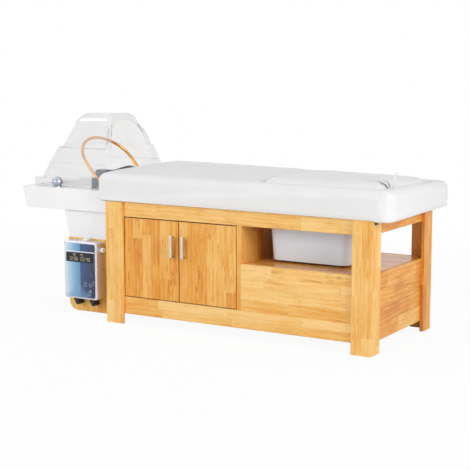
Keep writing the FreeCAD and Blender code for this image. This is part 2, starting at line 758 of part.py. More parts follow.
def make_pull(label, x):
    # Bar pull: two posts and a rounded bar
    middle = "door_low + door_height - handle_drop"
    face = "skin_front - handle_standoff"
    bar = body("bar_" + label, x, face, middle)
    outline = sketch_in(bar, "XZ_Plane")
    half = "handle_width / 2"
    rectangle(outline, "0 - " + half, half, "0 - handle_length / 2", "handle_length / 2")
    pad(bar, outline, "handle_thick", True)
    bevel(bar, "handle_thick / 4", lambda e: abs(e.BoundBox.YMax) < NEAR)
    posts = []
    for sign in ("-", "+"):
        z = "%s %s handle_spacing / 2" % (middle, sign)
        reach = "handle_standoff - handle_thick / 2"
        posts.append(prism(16, "handle_post_radius", reach, (x, face + " + handle_thick / 2", z), "y"))
    node(fuse(bar, *posts), label)


def make_catch():
    # Catch on the back of the top rail that both doors close against
    x = "left_door_x + door_width + door_gap / 2 - catch_width / 2"
    item = body("door_catch", x, "inner_front", "rail_under")
    outline = [("catch_gap", "0 - catch_drop"), ("catch_depth", "0 - catch_drop"),
               ("catch_depth", "catch_rise"), ("0", "catch_rise"), ("0", "0"), ("catch_gap", "0")]
    pad(item, polygon(sketch_in(item, "YZ_Plane"), outline), "catch_width")
    node(item, "door_catch")


def make_mattress():
    # Upholstered block with a crowned top and an opening for the foot-bath lid
    high = "mattress_thick + mattress_crown"
    block = body("mattress_block", "0", "0", "frame_height")
    outline = sketch_in(block, "XY_Plane")
    rounded(outline, "mattress_x0", "mattress_x1", "0 - mattress_half", "mattress_half",
            ["mattress_corner"] * 4)
    pad(block, outline, high)
    crown = "(mattress_half * mattress_half / mattress_crown + mattress_crown) / 2"
    length = "mattress_x1 - mattress_x0 + 2 * mattress_thick"
    middle = "frame_height + %s - %s" % (high, crown)
    bow = cylinder(crown, length, ("mattress_x0 - mattress_thick", "0", middle), "x")
    shape = common(block, bow)
    doc.recompute()
    low = number("frame_height") + number("mattress_thick") / 2
    top = soften(shape, "mattress_round", lambda e: e.BoundBox.ZMin > low)
    hole = body("lid_opening", "0", "0", "frame_height - board")
    outline = sketch_in(hole, "XY_Plane")
    half = "(lid_half + lid_gap)"
    rounded(outline, "lid_x0 - lid_gap", "lid_x1 + lid_gap", "0 - " + half, half,
            ["lid_corner + lid_gap"] * 4)
    pad(hole, outline, high + " + 2 * board")
    node(cut(top, hole), "mattress")


def make_lid():
    # Padded lid over the foot bath: plywood, crowned pad and a pull strap
    half = "lid_half"
    base = body("lid_board", "0", "0", "frame_height + seat_gap")
    outline = sketch_in(base, "XY_Plane")
    rounded(outline, "lid_x0", "lid_x1", "0 - " + half, half, ["lid_corner"] * 4)
    pad(base, outline, "lid_board_thick")
    node(base, "lid_board")
    block = body("lid_block", "0", "0", "lid_pad_low")
    outline = sketch_in(block, "XY_Plane")
    rounded(outline, "lid_x0", "lid_x1", "0 - " + half, half, ["lid_corner"] * 4)
    pad(block, outline, "lid_top + lid_crown - lid_pad_low")
    crown = "(lid_half * lid_half / lid_crown + lid_crown) / 2"
    middle = "lid_top + lid_crown - " + crown
    bow = cylinder(crown, "lid_length + 2 * lid_border", ("lid_x0 - lid_border", "0", middle), "x")
    shape = common(block, bow)
    doc.recompute()
    low = number("(lid_pad_low + lid_top) / 2")
    node(soften(shape, "lid_round", lambda e: e.BoundBox.ZMin > low), "lid_pad")


def make_strap():
    # Loop of leather sewn into the pad
    y = "0 - strap_offset - strap_width / 2"
    item = body("pull_strap", "lid_x1 - strap_inset", y, "lid_top - strap_sewn")
    outline = sketch_in(item, "XZ_Plane")
    out = "(strap_opening / 2 + strap_thick)"
    inn = "strap_opening / 2"
    high = "strap_sewn + strap_height"
    points = [("0 - " + out, "0"), ("0 - " + inn, "0"), ("0 - " + inn, high + " - strap_thick"),
              (inn, high + " - strap_thick"), (inn, "0"), (out, "0"), (out, high), ("0 - " + out, high)]
    pad(item, polygon(outline, points), "strap_width", True)
    doc.recompute()
    top = number(high)
    ease(item, out + " - strap_flat", lambda e: parallel(e, "y") and abs(e.BoundBox.ZMax - top) < NEAR)
    inner = top - number("strap_thick")
    ease(item, inn + " - strap_flat", lambda e: parallel(e, "y") and abs(e.BoundBox.ZMax - inner) < NEAR)
    node(item, "pull_strap")


def make_brackets():
    # Two angle plates that hold the mattress to the foot end
    items = []
    for sign in ("-", "+"):
        y = "0 %s (frame_width / 2 - bracket_inset) - bracket_width / 2" % sign
        wall = box(("bracket_thick", "bracket_width", "bracket_leg"),
                   ("foot_x", y, "frame_height - bracket_leg"))
        arm = box(("bracket_leg", "bracket_width", "bracket_thick"),
                  ("foot_x", y, "frame_height - bracket_thick"))
        items.append(fuse(wall, arm))
    node(group(*items), "mattress_brackets")


def tub_section(z, grow, shrink="0"):
    # Rounded outline of the tub, grown or shrunk from its rim size
    half_x = "(tub_length / 2 + %s)" % grow
    half_y = "(tub_width / 2 + %s)" % grow
    corner = "tub_corner + " + shrink
    return rounded(loose_sketch(z), "tub_x - " + half_x, "tub_x + " + half_x,
                   "0 - " + half_y, half_y, [corner] * 4)


def make_tub():
    # Drafted foot-bath tub with a rolled rim, standing on rubber feet
    top = "tub_low + tub_depth"
    shell = loft(tub_section("tub_low", "(0 - tub_draft)"), tub_section(top, "0"))
    rim = loft(tub_section(top + " - tub_wall", "tub_lip", "tub_lip"),
               tub_section(top, "tub_lip", "tub_lip"))
    thin = "(0 - tub_wall)"
    hollow = loft(tub_section("tub_low + tub_wall", "(0 - tub_draft - tub_wall)", thin),
                  tub_section(top, thin, thin))
    node(cut(fuse(shell, rim), hollow), "tub")
    feet = []
    for sx in ("-", "+"):
        for sy in ("-", "+"):
            x = "tub_x %s (tub_length / 2 - tub_foot_inset)" % sx
            y = "0 %s (tub_width / 2 - tub_foot_inset)" % sy
            feet.append(prism(12, "tub_foot_radius", "tub_foot_height", (x, y, "shelf_height + seat_gap")))
    node(group(*feet), "tub_feet")


def basin_section(z, lean, inset="0", corner="basin_corner", bed="0"):
    # Outline of the basin at a height above its lower edge
    half = "(basin_half - rim_draft + %s - %s)" % (lean, inset)
    start = "basin_x0 + rim_draft - %s + %s" % (lean, inset)
    return bay(loose_sketch(z), start, "head_x - " + bed, "0 - " + half, half, corner)


def bowl_section(z, grow, corner):
    half = "(bowl_width / 2 + %s)" % grow
    return rounded(loose_sketch(z), "bowl_x0 - (%s)" % grow, "bowl_x1 + (%s)" % grow,
                   "0 - " + half, half, [corner] * 4)


def make_basin():
    # Moulded basin: leaning outer face, deck, bowl and hollow underside
    outer = loft(basin_section("rim_low", "0"), basin_section("rim_top", "rim_draft"))
    relief = box(("head_x - relief_x + basin_wall", "4 * basin_half", "rim_top"),
                 ("relief_x", "0 - 2 * basin_half", "relief_z"))
    under = "basin_deck"
    below = "(0 - rim_lean * %s)" % under
    ceiling = "(rim_height - basin_deck) * rim_lean"
    wall = "basin_wall"
    corner = "basin_corner - basin_wall"
    riser = "(head_x - relief_x + basin_wall)"
    main = loft(basin_section("rim_low - " + under, below, wall, corner, riser),
                basin_section("rim_top - basin_deck", "(%s)" % ceiling, wall, corner, riser))
    low_lean = "((relief_z - basin_deck - rim_low) * rim_lean)"
    ledge = loft(basin_section("rim_low - " + under, below, wall, corner, wall),
                 basin_section("relief_z - basin_deck", low_lean, wall, corner, wall))
    shell = cut(cut(outer, relief), fuse(main, ledge))
    sunk = "rim_top - basin_deck / 2"
    bowl_out = loft(bowl_section("pedestal_top", "bowl_wall_low", "bowl_corner_low"),
                    bowl_section(sunk, "basin_wall", "bowl_corner + basin_wall"))
    bowl_in = loft(bowl_section("bowl_low", "0 - bowl_draft", "bowl_corner - bowl_draft"),
                   bowl_section("rim_top", "0", "bowl_corner"))
    drain = cylinder("drain_radius", "3 * basin_wall", ("bowl_mid_x", "0", "pedestal_top - basin_wall"))
    node(cut(cut(fuse(shell, bowl_out), bowl_in), drain), "basin")


def collar_block(low, high, inset, corner, past):
    # Upright block on the collar's plan, open towards the bed when it runs past
    item = body("collar_block", "0", "0", low)
    outline = sketch_in(item, "XY_Plane")
    half = "(collar_half - %s)" % inset
    start = "head_x - collar_reach + " + inset
    bay(outline, start, "head_x - collar_near + " + past, "0 - " + half, half, corner)
    pad(item, outline, "%s - (%s)" % (high, low))
    return item


def make_collar():
    # Clear upright band on the basin deck, with a top plate that the hood stands on
    outer = collar_block("rim_top", "collar_top", "0", "collar_corner", "0")
    room = collar_block("rim_top - basin_deck", "collar_top - collar_plate", "collar_wall",
                        "collar_corner - collar_wall", "hood_past")
    mouth = collar_block("rim_top", "collar_top + basin_deck", "collar_seat",
                         "hood_corner - collar_seat", "hood_past")
    node(cut(cut(outer, room), mouth), "hood_collar")


def pedestal_section(z, lean, flare, inset, corner):
    half = "(cheek_y + %s - %s)" % (flare, inset)
    start = "head_x - pedestal_reach - %s + %s" % (lean, inset)
    return bay(loose_sketch(z), start, "pedestal_x1 - " + inset, "0 - " + half, half, corner)


def make_pedestal():
    # Flared hollow foot that carries the basin on its top plate
    spread = ("pedestal_lean", "pedestal_flare")
    outer = loft(pedestal_section("cheek_top", "0", "0", "0", "pedestal_corner"),
                 pedestal_section("pedestal_top", *spread, "0", "pedestal_corner"))
    thin = "pedestal_corner - pedestal_wall"
    inner = loft(pedestal_section("cheek_top", "0", "0", "pedestal_wall", thin),
                 pedestal_section("pedestal_top - pedestal_wall", *spread, "pedestal_wall", thin))
    low = "pedestal_top - 2 * pedestal_wall"
    drain = cylinder("drain_radius", "3 * pedestal_wall", ("bowl_mid_x", "0", low))
    node(cut(cut(outer, inner), drain), "pedestal")


def make_strainer():
    # Drain fitting: flange in the bowl on a tail through the pedestal plate
    flange = prism(24, "strainer_radius", "strainer_thick", ("bowl_mid_x", "0", "bowl_low"))
    tail = prism(24, "drain_radius", "tail_length", ("bowl_mid_x", "0", "bowl_low - tail_length"))
    node(fuse(flange, tail), "drain_strainer")


def make_support():
    # Two cheek boards with a rounded lower corner, and the shelf between them
    for side, y in (("front", "0 - cheek_y"), ("back", "cheek_y - board")):
        item = body("cheek_" + side, "head_x - pedestal_reach", y, "cheek_low")
        outline = sketch_in(item, "XZ_Plane")
        rounded(outline, "0", "pedestal_reach", "0", "cheek_height",
                ["edge_ease", "edge_ease", "edge_ease * 2", "cheek_corner"])
        pad(item, outline, "board", True)
        node(item, "cheek_" + side)
    size = ("pedestal_reach - board", "2 * (cheek_y - board)", "board")
    at = ("head_x - pedestal_reach + board", "board - cheek_y", "cheek_top - board")
    board("support_shelf", size, at, "y")


def make_neck_rest():
    # Soft saddle over the bed-side edge of the bowl, with a tongue inside the bowl
    item = body("neck_block", "neck_x0", "0 - neck_half", "rim_top + seat_gap")
    outline = [("0", "0"), ("neck_length", "0"), ("neck_length", "neck_height - neck_fall"),
               ("0", "neck_height")]
    pad(item, polygon(sketch_in(item, "XZ_Plane"), outline), "2 * neck_half", True)
    doc.recompute()
    floor = number("neck_height") / 2
    ease(item, "neck_round", lambda e: parallel(e, "y") and e.BoundBox.ZMin > floor)
    dip = "rim_top + seat_gap + neck_height - neck_dip + neck_saddle_radius"
    saddle = cylinder("neck_saddle_radius", "2 * neck_length", ("neck_x0 - neck_length / 2", "0", dip), "x")
    tongue = box(("neck_lip", "neck_lip_width", "2 * neck_lip_drop"),
                 ("neck_x0", "0 - neck_lip_width / 2", "rim_top + seat_gap - neck_lip_drop"))
    node(fuse(cut(item, saddle), tongue), "neck_rest")


def tube_ring(y, z, turn, radius):
    # Circle across the tube; turn is the angle of the tube's direction from upright
    item = circle(doc.addObject("Sketcher::SketchObject", "tube_ring"), "0", "0", radius)
    item.Placement = FreeCAD.Placement(Vector(), Rotation(Vector(1, 0, 0), number(turn)))
    bind(item, "Placement.Rotation.Angle", "(%s) * 1 deg" % turn)
    place(item, "0", y, z)
    return item


def make_arch():
    # Bent water tube that leans over the bowl and turns on a pin at each foot
    steps = 6
    stations = [("arch_half", "0", "0")]
    for i in range(steps):
        angle = "(arch_turn * %s)" % (i / steps)
        stations.append(("arch_half - arch_corner + arch_corner * cos(%s)" % angle,
                         "arch_leg + arch_corner * sin(%s)" % angle, angle))
    rise = "arch_leg + (arch_corner - arch_crown) * sin(arch_turn)"
    for i in range(2 * steps + 1):
        angle = "(arch_turn + (90 - arch_turn) * %s)" % (i / steps)
        stations.append(("arch_crown * cos(%s)" % angle,
                         "%s + arch_crown * sin(%s)" % (rise, angle), angle))
    for y, z, angle in reversed(stations[:steps + 1]):
        stations.append(("0 - (%s)" % y, z, "180 - %s" % angle))
    tube = loft(*[tube_ring(y, z, angle, "arch_tube_radius") for y, z, angle in stations])
    knuckles = []
    bores = []
    deep = "arch_pin_length + arch_end_gap"
    for start, hole in (("arch_half - knuckle_length / 2", "knuckle_out - (%s)" % deep),
                        ("0 - knuckle_out", "0 - knuckle_out")):
        knuckles.append(cylinder("knuckle_radius", "knuckle_length", ("0", start, "0"), "y"))
        bores.append(cylinder("arch_pin_radius + pivot_clearance", deep, ("0", hole, "0"), "y"))
    item = cut(fuse(tube, *knuckles), fuse(*bores))
    item.Placement = FreeCAD.Placement(Vector(), Rotation(Vector(0, -1, 0), number("arch_lean")))
    bind(item, "Placement.Rotation.Angle", "arch_lean * 1 deg")
    place(item, "arch_x", "0", "arch_axis_z")
    node(item, "arch_pipe")


def make_sockets():
    # Posts on the basin deck with a pin that each foot of the arch turns on
    items = []
    for sign in (1, -1):
        post_y = "socket_in" if sign > 0 else "0 - socket_in - socket_width"
        pin_y = "socket_in - arch_pin_length" if sign > 0 else "0 - socket_in"
        high = "arch_axis_z - rim_top"
        post = body("socket_post_%s" % ("back" if sign > 0 else "front"), "arch_x", post_y, "rim_top")
        outline = sketch_in(post, "XZ_Plane")
        half = "socket_length / 2"
        round_top = half + " - socket_flat"
        rounded(outline, "0 - " + half, half, "0", high + " + " + half,
                ["edge_ease", round_top, round_top, "edge_ease"])
        pad(post, outline, "socket_width", True)
        middle = "%s + socket_width / 2" % post_y
        flange = prism(16, "socket_flange_radius", "socket_flange_thick", ("arch_x", middle, "rim_top"))
        pin = cylinder("arch_pin_radius", "arch_pin_length", ("arch_x", pin_y, "arch_axis_z"), "y")
        items.append(fuse(post, flange, pin))
    node(group(*items), "arch_sockets")


def hood_section(rise, half, reach, near, corner, inset, open_by):
    # Plan outline of the hood: rounded at the head end, square at the bed end
    side = "(%s - %s)" % (half, inset)
    start = "head_x - %s + %s" % (reach, inset)
    end = "head_x - %s + %s" % (near, open_by)
    level = loose_sketch("hood_low + " + rise)
    return bay(level, start, end, "0 - " + side, side, "%s - %s" % (corner, inset))


HOOD_FOOT = ("0", "hood_low_half", "hood_low_reach", "hood_low_near", "hood_corner")
HOOD_BEAD = ("hood_mid_rise", "hood_mid_half", "hood_mid_reach", "hood_mid_near", "hood_corner")
HOOD_SEAM = ("hood_seam_rise", "hood_seam_half", "hood_seam_reach", "hood_seam_near", "hood_corner")


def make_hood_skirt():
    # Lower hood: two leaning tiers with a stepped bead, and a ledge for the dome
    part = "(1 - hood_ledge_thick / (hood_seam_rise - hood_mid_rise))"
    tiers = zip(HOOD_BEAD, HOOD_SEAM)
    ledge = tuple("(%s + (%s - %s) * %s)" % (low, high, low, part) for low, high in tiers)
    step = ("hood_step", "0")
    outer = fuse(loft(hood_section(*HOOD_FOOT, "0", "0"), hood_section(*HOOD_BEAD, "0", "0")),
                 loft(hood_section(*HOOD_BEAD, *step), hood_section(*HOOD_SEAM, *step)))
    thin = "(hood_step + hood_wall)"
    deep = "(hood_step + hood_ledge)"
    through = ("(hood_seam_rise + hood_ledge_thick)",) + HOOD_SEAM[1:]
    past = "hood_past"
    wall = "hood_wall"
    inner = fuse(loft(hood_section(*HOOD_FOOT, wall, past), hood_section(*HOOD_BEAD, wall, past)),
                 loft(hood_section(*HOOD_BEAD, thin, past), hood_section(*ledge, thin, past)),
                 loft(hood_section(*ledge, deep, past), hood_section(*through, deep, past)))
    node(cut(outer, inner), "hood_skirt")


def arch_section(x, z, lean, half, high):
    # Arched section across the bed: a base line, two side arcs and a crown arc.
    # A low arch has tight side arcs, a tall one has side arcs wider than its height.
    item = doc.addObject("Sketcher::SketchObject", "arch_section")
    turn = Rotation(Vector(0, 1, 0), -number(lean)).multiply(Rotation(Vector(1, 1, 1), 120))
    item.Placement = FreeCAD.Placement(Vector(), turn)
    place(item, x, "0", z)
    w, h = number(half), number(high)
    side = ("(%s) * dome_mouth_side" if w > h else "(%s) / dome_mouth_side") % high
    r = number(side)
    c = ((h - r) ** 2 - (w - r) ** 2) / (2 * (h - r))
    big = h - c
    angle = math.degrees(math.atan(c / (r - w)))
    item.addGeometry([
        line((-w, 0), (w, 0)),
        arc((w - r, 0), r, 0, angle),
        arc((0, c), big, angle, 180 - angle),
        arc((r - w, 0), r, 180 - angle, 180),
    ], False)
    item.addConstraint(Sketcher.Constraint("Coincident", 0, 2, 1, 1))
    item.addConstraint(Sketcher.Constraint("Tangent", 1, 2, 2, 1))
    item.addConstraint(Sketcher.Constraint("Tangent", 2, 2, 3, 1))
    item.addConstraint(Sketcher.Constraint("Coincident", 3, 2, 0, 1))
    fix(item, 0, 1, "0 - (%s)" % half, "0")
    fix(item, 0, 2, half, "0")
    fix(item, 1, 3, y="0")
    fix(item, 3, 3, y="0")
    radius_of(item, 1, side)
    radius_of(item, 3, side)
    gap = "((%s) - %s)" % (high, side)
    out = "((%s) - %s)" % (half, side)
    fix(item, 2, 3, y="(%s * %s - %s * %s) / (2 * %s)" % (gap, gap, out, out, gap))
    return item


def dome_form(wall):
    # Leaning block with a rounded top, cut off by the slanted bed face
    foot = "(dome_inset + %s)" % wall
    turn = "(dome_round - %s)" % wall
    top = "hood_seam_rise + dome_rise - " + wall
    straight = "(dome_rise - %s - %s * (1 - sin(dome_pitch)))" % (wall, turn)
    sections = [hood_section(*HOOD_SEAM[:4], "dome_corner", foot, "hood_past")]
    bands = 4
    for i in range(bands + 1):
        angle = "(dome_pitch + (90 - dome_pitch) * %s)" % (i / bands)
        rise = "%s - %s * (1 - sin(%s))" % (top, turn, angle)
        bend = "%s * (cos(dome_pitch) - cos(%s))" % (turn, angle)
        inset = "(%s + %s * tan(dome_pitch) + %s)" % (foot, straight, bend)
        corner = "dome_corner" if i < bands else "edge_ease + " + inset
        sections.append(hood_section(rise, *HOOD_SEAM[1:4], corner, inset, "hood_past"))
    block = loft(*sections)
    face = box(("hood_past * 4", "2 * hood_low_half", "dome_rise * 3"), ("0", "0", "0"))
    face.Placement = FreeCAD.Placement(Vector(), Rotation(Vector(0, -1, 0), number("dome_slant")))
    bind(face, "Placement.Rotation.Angle", "dome_slant * 1 deg")
    start = "head_x - hood_seam_near - %s + dome_rise * tan(dome_slant)" % wall
    place(face, start, "0 - hood_low_half", "seam_z - dome_rise")
    return cut(block, face)


def make_dome():
    # Upper hood: leaning walls, rounded top and an arched mouth in the bed face
    shell = cut(dome_form("0"), dome_form("dome_wall"))
    mouth = []
    for shift in ("hood_past", "0 - hood_past"):
        x = "head_x - hood_seam_near + " + shift
        mouth.append(arch_section(x, "seam_z", "dome_slant", "dome_mouth_half", "dome_mouth_rise"))
    node(cut(shell, loft(*mouth)), "hood_dome")


def make_tap():
    # Round tap on the basin deck: a base with a spindle, and a faceted knob
    at = ("tap_x", "tap_y", "rim_top")
    base = prism(16, "tap_base_radius", "tap_base_thick", at)
    spindle = cylinder("tap_spindle_radius", "tap_spindle_length", at[:2] + ("rim_top + tap_base_thick",))
    node(fuse(base, spindle), "tap_base")
    low = "rim_top + tap_base_thick + seat_gap"
    form = body("tap_form", at[0], at[1], low)
    pad(form, polygon(sketch_in(form, "XY_Plane"), ring("tap_knob_radius", 16)), "tap_knob_height")
    doc.recompute()
    high = number("tap_knob_height")
    bevel(form, "tap_knob_bevel", lambda e: e.BoundBox.ZMin > high - NEAR)
    bevel(form, "tap_knob_ease", lambda e: e.BoundBox.ZMin > high - NEAR)
    bevel(form, "edge_ease", lambda e: e.BoundBox.ZMax < NEAR)
    deep = "tap_spindle_length + knob_end_gap"
    bore = cylinder("tap_spindle_radius + pivot_clearance", deep, at[:2] + (low,))
    node(cut(form, bore), "tap_knob")


def make_heater():
    # Water heater on the front cheek: case, front panel, display, band, hanger and valve
    case = body("heater_case", "heater_x0", "heater_y", "heater_low")
    outline = sketch_in(case, "XZ_Plane")
    rounded(outline, "0", "heater_width", "0", "heater_height", ["heater_corner"] * 4)
    pad(case, outline, "heater_depth", True)
    bevel(case, "heater_ease", lambda e: abs(e.BoundBox.YMax) < NEAR)
    node(case, "heater_case")
    panel = body("heater_panel", "heater_x0", "panel_y", "heater_low")
    outline = sketch_in(panel, "XZ_Plane")
    inset = "(panel_margin + heater_ease)"
    rounded(outline, inset, "heater_width - " + inset, inset, "heater_height - " + inset,
            ["heater_corner - panel_margin"] * 4)
    pad(panel, outline, "panel_thick", True)
    bevel(panel, "panel_thick / 3", lambda e: abs(e.BoundBox.YMax) < NEAR)
    node(panel, "heater_panel")
    middle = "(heater_x0 + heater_x1) / 2"
    low = "panel_top - display_drop - display_height"
    show = body("heater_display", middle + " - display_width / 2", "panel_y - display_thick", low)
    outline = sketch_in(show, "XZ_Plane")
    rounded(outline, "0", "display_width", "0", "display_height", ["edge_ease * 2"] * 4)
    pad(show, outline, "display_thick", True)
    node(show, "heater_display")
    wide = "heater_width - 2 * " + inset
    band_at = ("heater_x0 + " + inset, "panel_y - display_thick", "panel_top - band_drop")
    node(box((wide, "display_thick", "band_height"), band_at), "heater_band")
    hook_x = middle + " - hanger_width / 2"
    hook = body("heater_hanger", hook_x, "0 - cheek_y - hanger_depth", "heater_top")
    outline = [("0", "0"), ("hanger_depth", "0"), ("hanger_depth", "cheek_top - heater_top"),
               ("hanger_depth - hanger_lip", "cheek_top - heater_top"), ("0", "hanger_toe")]
    pad(hook, polygon(sketch_in(hook, "YZ_Plane"), outline), "hanger_width")
    node(hook, "heater_hanger")
    valve = ("0 - cheek_y - valve_setback", "heater_top - valve_drop")
    stem = cylinder("valve_stem_radius", "valve_stem_length", ("heater_x1",) + valve, "x")
    node(stem, "heater_valve_stem")
    knob = prism(10, "valve_radius", "valve_length", ("heater_x1 + valve_gap",) + valve, "x")
    deep = "valve_stem_length + knob_end_gap"
    bore = cylinder("valve_stem_radius + pivot_clearance", deep, ("heater_x1",) + valve, "x")
    node(cut(knob, bore), "heater_valve_knob")


def make_hoses():
    # Two short hoses that leave the heater downwards and turn back into the cheek
    items = []
    for start in ("hose_first", "hose_second"):
        x = "heater_x0 + " + start
        low = "heater_low - hose_drop"
        nut = prism(6, "hose_nut_radius", "hose_nut_height", (x, "hose_y", "heater_low - hose_nut_height"))
        drop = prism(16, "hose_radius", "hose_drop", (x, "hose_y", low))
        run = prism(16, "hose_radius", "0 - cheek_y - hose_y", (x, "hose_y", low), "y")
        items.append(fuse(nut, drop, run))
    node(group(*items), "hose_elbows")


fill_sheet()
make_legs()
make_carcass()
make_divider()
make_deck()
make_door("left", "left_door_x", True)
make_door("right", "right_door_x", False)
make_catch()
make_mattress()
make_lid()
make_strap()
make_brackets()
make_tub()
make_support()
make_pedestal()
make_basin()
make_collar()
make_strainer()
make_neck_rest()
make_arch()
make_sockets()
make_hood_skirt()
make_dome()
make_tap()
make_heater()
make_hoses()
doc.recompute()

for item in doc.Objects:
    if "Invalid" in item.State or "Error" in item.State:
        raise RuntimeError("%s did not build: %s" % (item.Label, item.State))
for item in NODES:
    if item.Shape.isNull() or not item.Shape.isValid():
        raise RuntimeError("%s has no valid solid" % item.Label)
    item.Shape.exportStep("parts/%s.step" % item.Label)
print("%d pieces" % len(NODES))
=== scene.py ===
import math

import bmesh
import bpy
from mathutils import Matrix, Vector
from mathutils import noise


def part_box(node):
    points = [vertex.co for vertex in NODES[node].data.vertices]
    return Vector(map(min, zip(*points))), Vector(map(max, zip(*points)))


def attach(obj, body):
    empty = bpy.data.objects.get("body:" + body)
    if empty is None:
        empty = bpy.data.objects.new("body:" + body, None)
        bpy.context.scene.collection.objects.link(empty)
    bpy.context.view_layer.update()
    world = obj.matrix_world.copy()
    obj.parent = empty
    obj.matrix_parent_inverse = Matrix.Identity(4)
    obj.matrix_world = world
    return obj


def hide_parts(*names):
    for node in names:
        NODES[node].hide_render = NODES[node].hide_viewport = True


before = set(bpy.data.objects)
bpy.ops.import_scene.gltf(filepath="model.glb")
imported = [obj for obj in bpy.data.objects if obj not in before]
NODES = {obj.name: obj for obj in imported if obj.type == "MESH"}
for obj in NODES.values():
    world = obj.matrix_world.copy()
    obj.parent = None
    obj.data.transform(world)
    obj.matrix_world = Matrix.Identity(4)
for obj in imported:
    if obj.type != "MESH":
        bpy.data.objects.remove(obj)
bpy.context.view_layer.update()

X, Y, Z = 0, 1, 2
QUARTER_TURN = math.pi / 2


# Node graphs


class Graph:
    """A material and short ways to add nodes to it."""

    def __init__(self, name):
        self.material = bpy.data.materials.new(name)
        self.material.use_nodes = True
        self.tree = self.material.node_tree
        self.shader = self.tree.nodes["Principled BSDF"]

    def add(self, kind, **settings):
        item = self.tree.nodes.new(kind)
        for key, value in settings.items():
            setattr(item, key, value)
        return item

    def feed(self, socket, value):
        if isinstance(value, bpy.types.NodeSocket):
            self.tree.links.new(value, socket)
        else:
            socket.default_value = value

    def math(self, operation, a, b=0.0):
        item = self.add("ShaderNodeMath", operation=operation)
        self.feed(item.inputs[0], a)
        self.feed(item.inputs[1], b)
        return item.outputs[0]

    def times(self, value, factor):
        return self.math("MULTIPLY", value, factor)

    def total(self, *terms):
        """Sum of (value, weight) pairs."""
        result = None
        for value, weight in terms:
            part = self.times(value, weight)
            result = part if result is None else self.math("ADD", result, part)
        return result

    def away(self, value, middle):
        """Distance of a value from a middle one."""
        return self.math("ABSOLUTE", self.math("SUBTRACT", value, middle))

    def place(self):
        item = self.add("ShaderNodeTexCoord")
        return item.outputs["Object"]

    def axes(self):
        item = self.add("ShaderNodeSeparateXYZ")
        self.feed(item.inputs[0], self.place())
        return item.outputs[0], item.outputs[1], item.outputs[2]

    def vector(self, x, y, z):
        item = self.add("ShaderNodeCombineXYZ")
        for socket, value in zip(item.inputs, (x, y, z)):
            self.feed(socket, value)
        return item.outputs[0]

    def scaled(self, vector, sizes):
        item = self.add("ShaderNodeVectorMath", operation="MULTIPLY")
        self.feed(item.inputs[0], vector)
        item.inputs[1].default_value = sizes
        return item.outputs[0]

    def noise(self, vector, scale, detail, rough=0.5):
        item = self.add("ShaderNodeTexNoise")
        self.feed(item.inputs["Vector"], vector)
        item.inputs["Scale"].default_value = scale
        item.inputs["Detail"].default_value = detail
        item.inputs["Roughness"].default_value = rough
        return item.outputs["Fac"]

    def cells(self, vector, scale, **settings):
        item = self.add("ShaderNodeTexVoronoi", **settings)
        self.feed(item.inputs["Vector"], vector)
        item.inputs["Scale"].default_value = scale
        return item

    def random(self, vector):
        item = self.add("ShaderNodeTexWhiteNoise", noise_dimensions="3D")
        self.feed(item.inputs["Vector"], vector)
        return item.outputs["Value"]

    def span(self, value, low, high, to_low=0.0, to_high=1.0):
        item = self.add("ShaderNodeMapRange", clamp=True)
        for socket, number in zip(item.inputs, (value, low, high, to_low, to_high)):
            self.feed(socket, number)
        return item.outputs[0]

    def ramp(self, value, stops):
        item = self.add("ShaderNodeValToRGB")
        self.feed(item.inputs[0], value)
        marks = item.color_ramp.elements
        while len(marks) < len(stops):
            marks.new(0.5)
        for mark, (position, colour) in zip(marks, stops):
            mark.position = position
            mark.color = (*colour, 1.0)
        return item.outputs[0]

    def mix(self, share, a, b):
        item = self.add("ShaderNodeMix", data_type="RGBA")
        self.feed(item.inputs[0], share)
        for socket, value in ((item.inputs[6], a), (item.inputs[7], b)):
            self.feed(socket, value if isinstance(value, bpy.types.NodeSocket) else (*value, 1.0))
        return item.outputs[2]

    def bump(self, height, strength, distance):
        item = self.add("ShaderNodeBump")
        item.inputs["Strength"].default_value = strength
        item.inputs["Distance"].default_value = distance
        self.feed(item.inputs["Height"], height)
        self.feed(self.shader.inputs["Normal"], item.outputs[0])
        return item

    def round_edges(self, bump, radius):
        item = self.add("ShaderNodeBevel", samples=6)
        item.inputs["Radius"].default_value = radius
        self.feed(bump.inputs["Normal"], item.outputs[0])

    def set(self, **values):
        for key, value in values.items():
            self.feed(self.shader.inputs[key.replace("_", " ")], value)
        return self.material


def tone(red, green, blue):
    """Linear colour from the usual 0 to 255 numbers."""
    def line(value):
        value /= 255
        return value / 12.92 if value <= 0.04045 else ((value + 0.055) / 1.055) ** 2.4
    return line(red), line(green), line(blue)


def dimmed(colour, share):
    return [value * share for value in colour]


# Wood

LIGHT_WOOD = tone(252, 211, 138)
MID_WOOD = tone(245, 192, 108)
WARM_WOOD = tone(236, 166, 70)
DARK_WOOD = tone(212, 131, 44)
PORE_WOOD = tone(146, 78, 30)
FLECK_WOOD = tone(184, 98, 40)
# Painted shade at the edges of boards that meet a gap
GAP_SHADE_WOOD = tone(84, 44, 18)
WOOD_RAMP = ((0.05, LIGHT_WOOD), (0.38, MID_WOOD), (0.66, WARM_WOOD), (0.96, DARK_WOOD))
# The strips of a board end this far outside its faces, so no glue line lies on an edge
STRIP_MARGIN = 0.001
# Strips start up to this many sticks apart, and sticks are cut up to this many metres apart in a log
STRIP_SHIFT = 5.0
CUT_REACH = 37.0
SHIFT_SEED = 3.0
SECOND_SEED = 11.0
# Noise drawn out along the grain: scale along it, scale across it, detail and roughness
DRIFT = (2.4, 11.0, 2.0, 0.5)
STREAKS = (9.0, 150.0, 4.0, 0.6)
FIBRES = (26.0, 900.0, 2.0, 0.5)
PORES = (46.0, 640.0, 1.0, 0.5)
SPOTS = (7.0, 20.0, 3.0, 0.5)
DASHES = (20.0, 170.0, 2.0, 0.5)
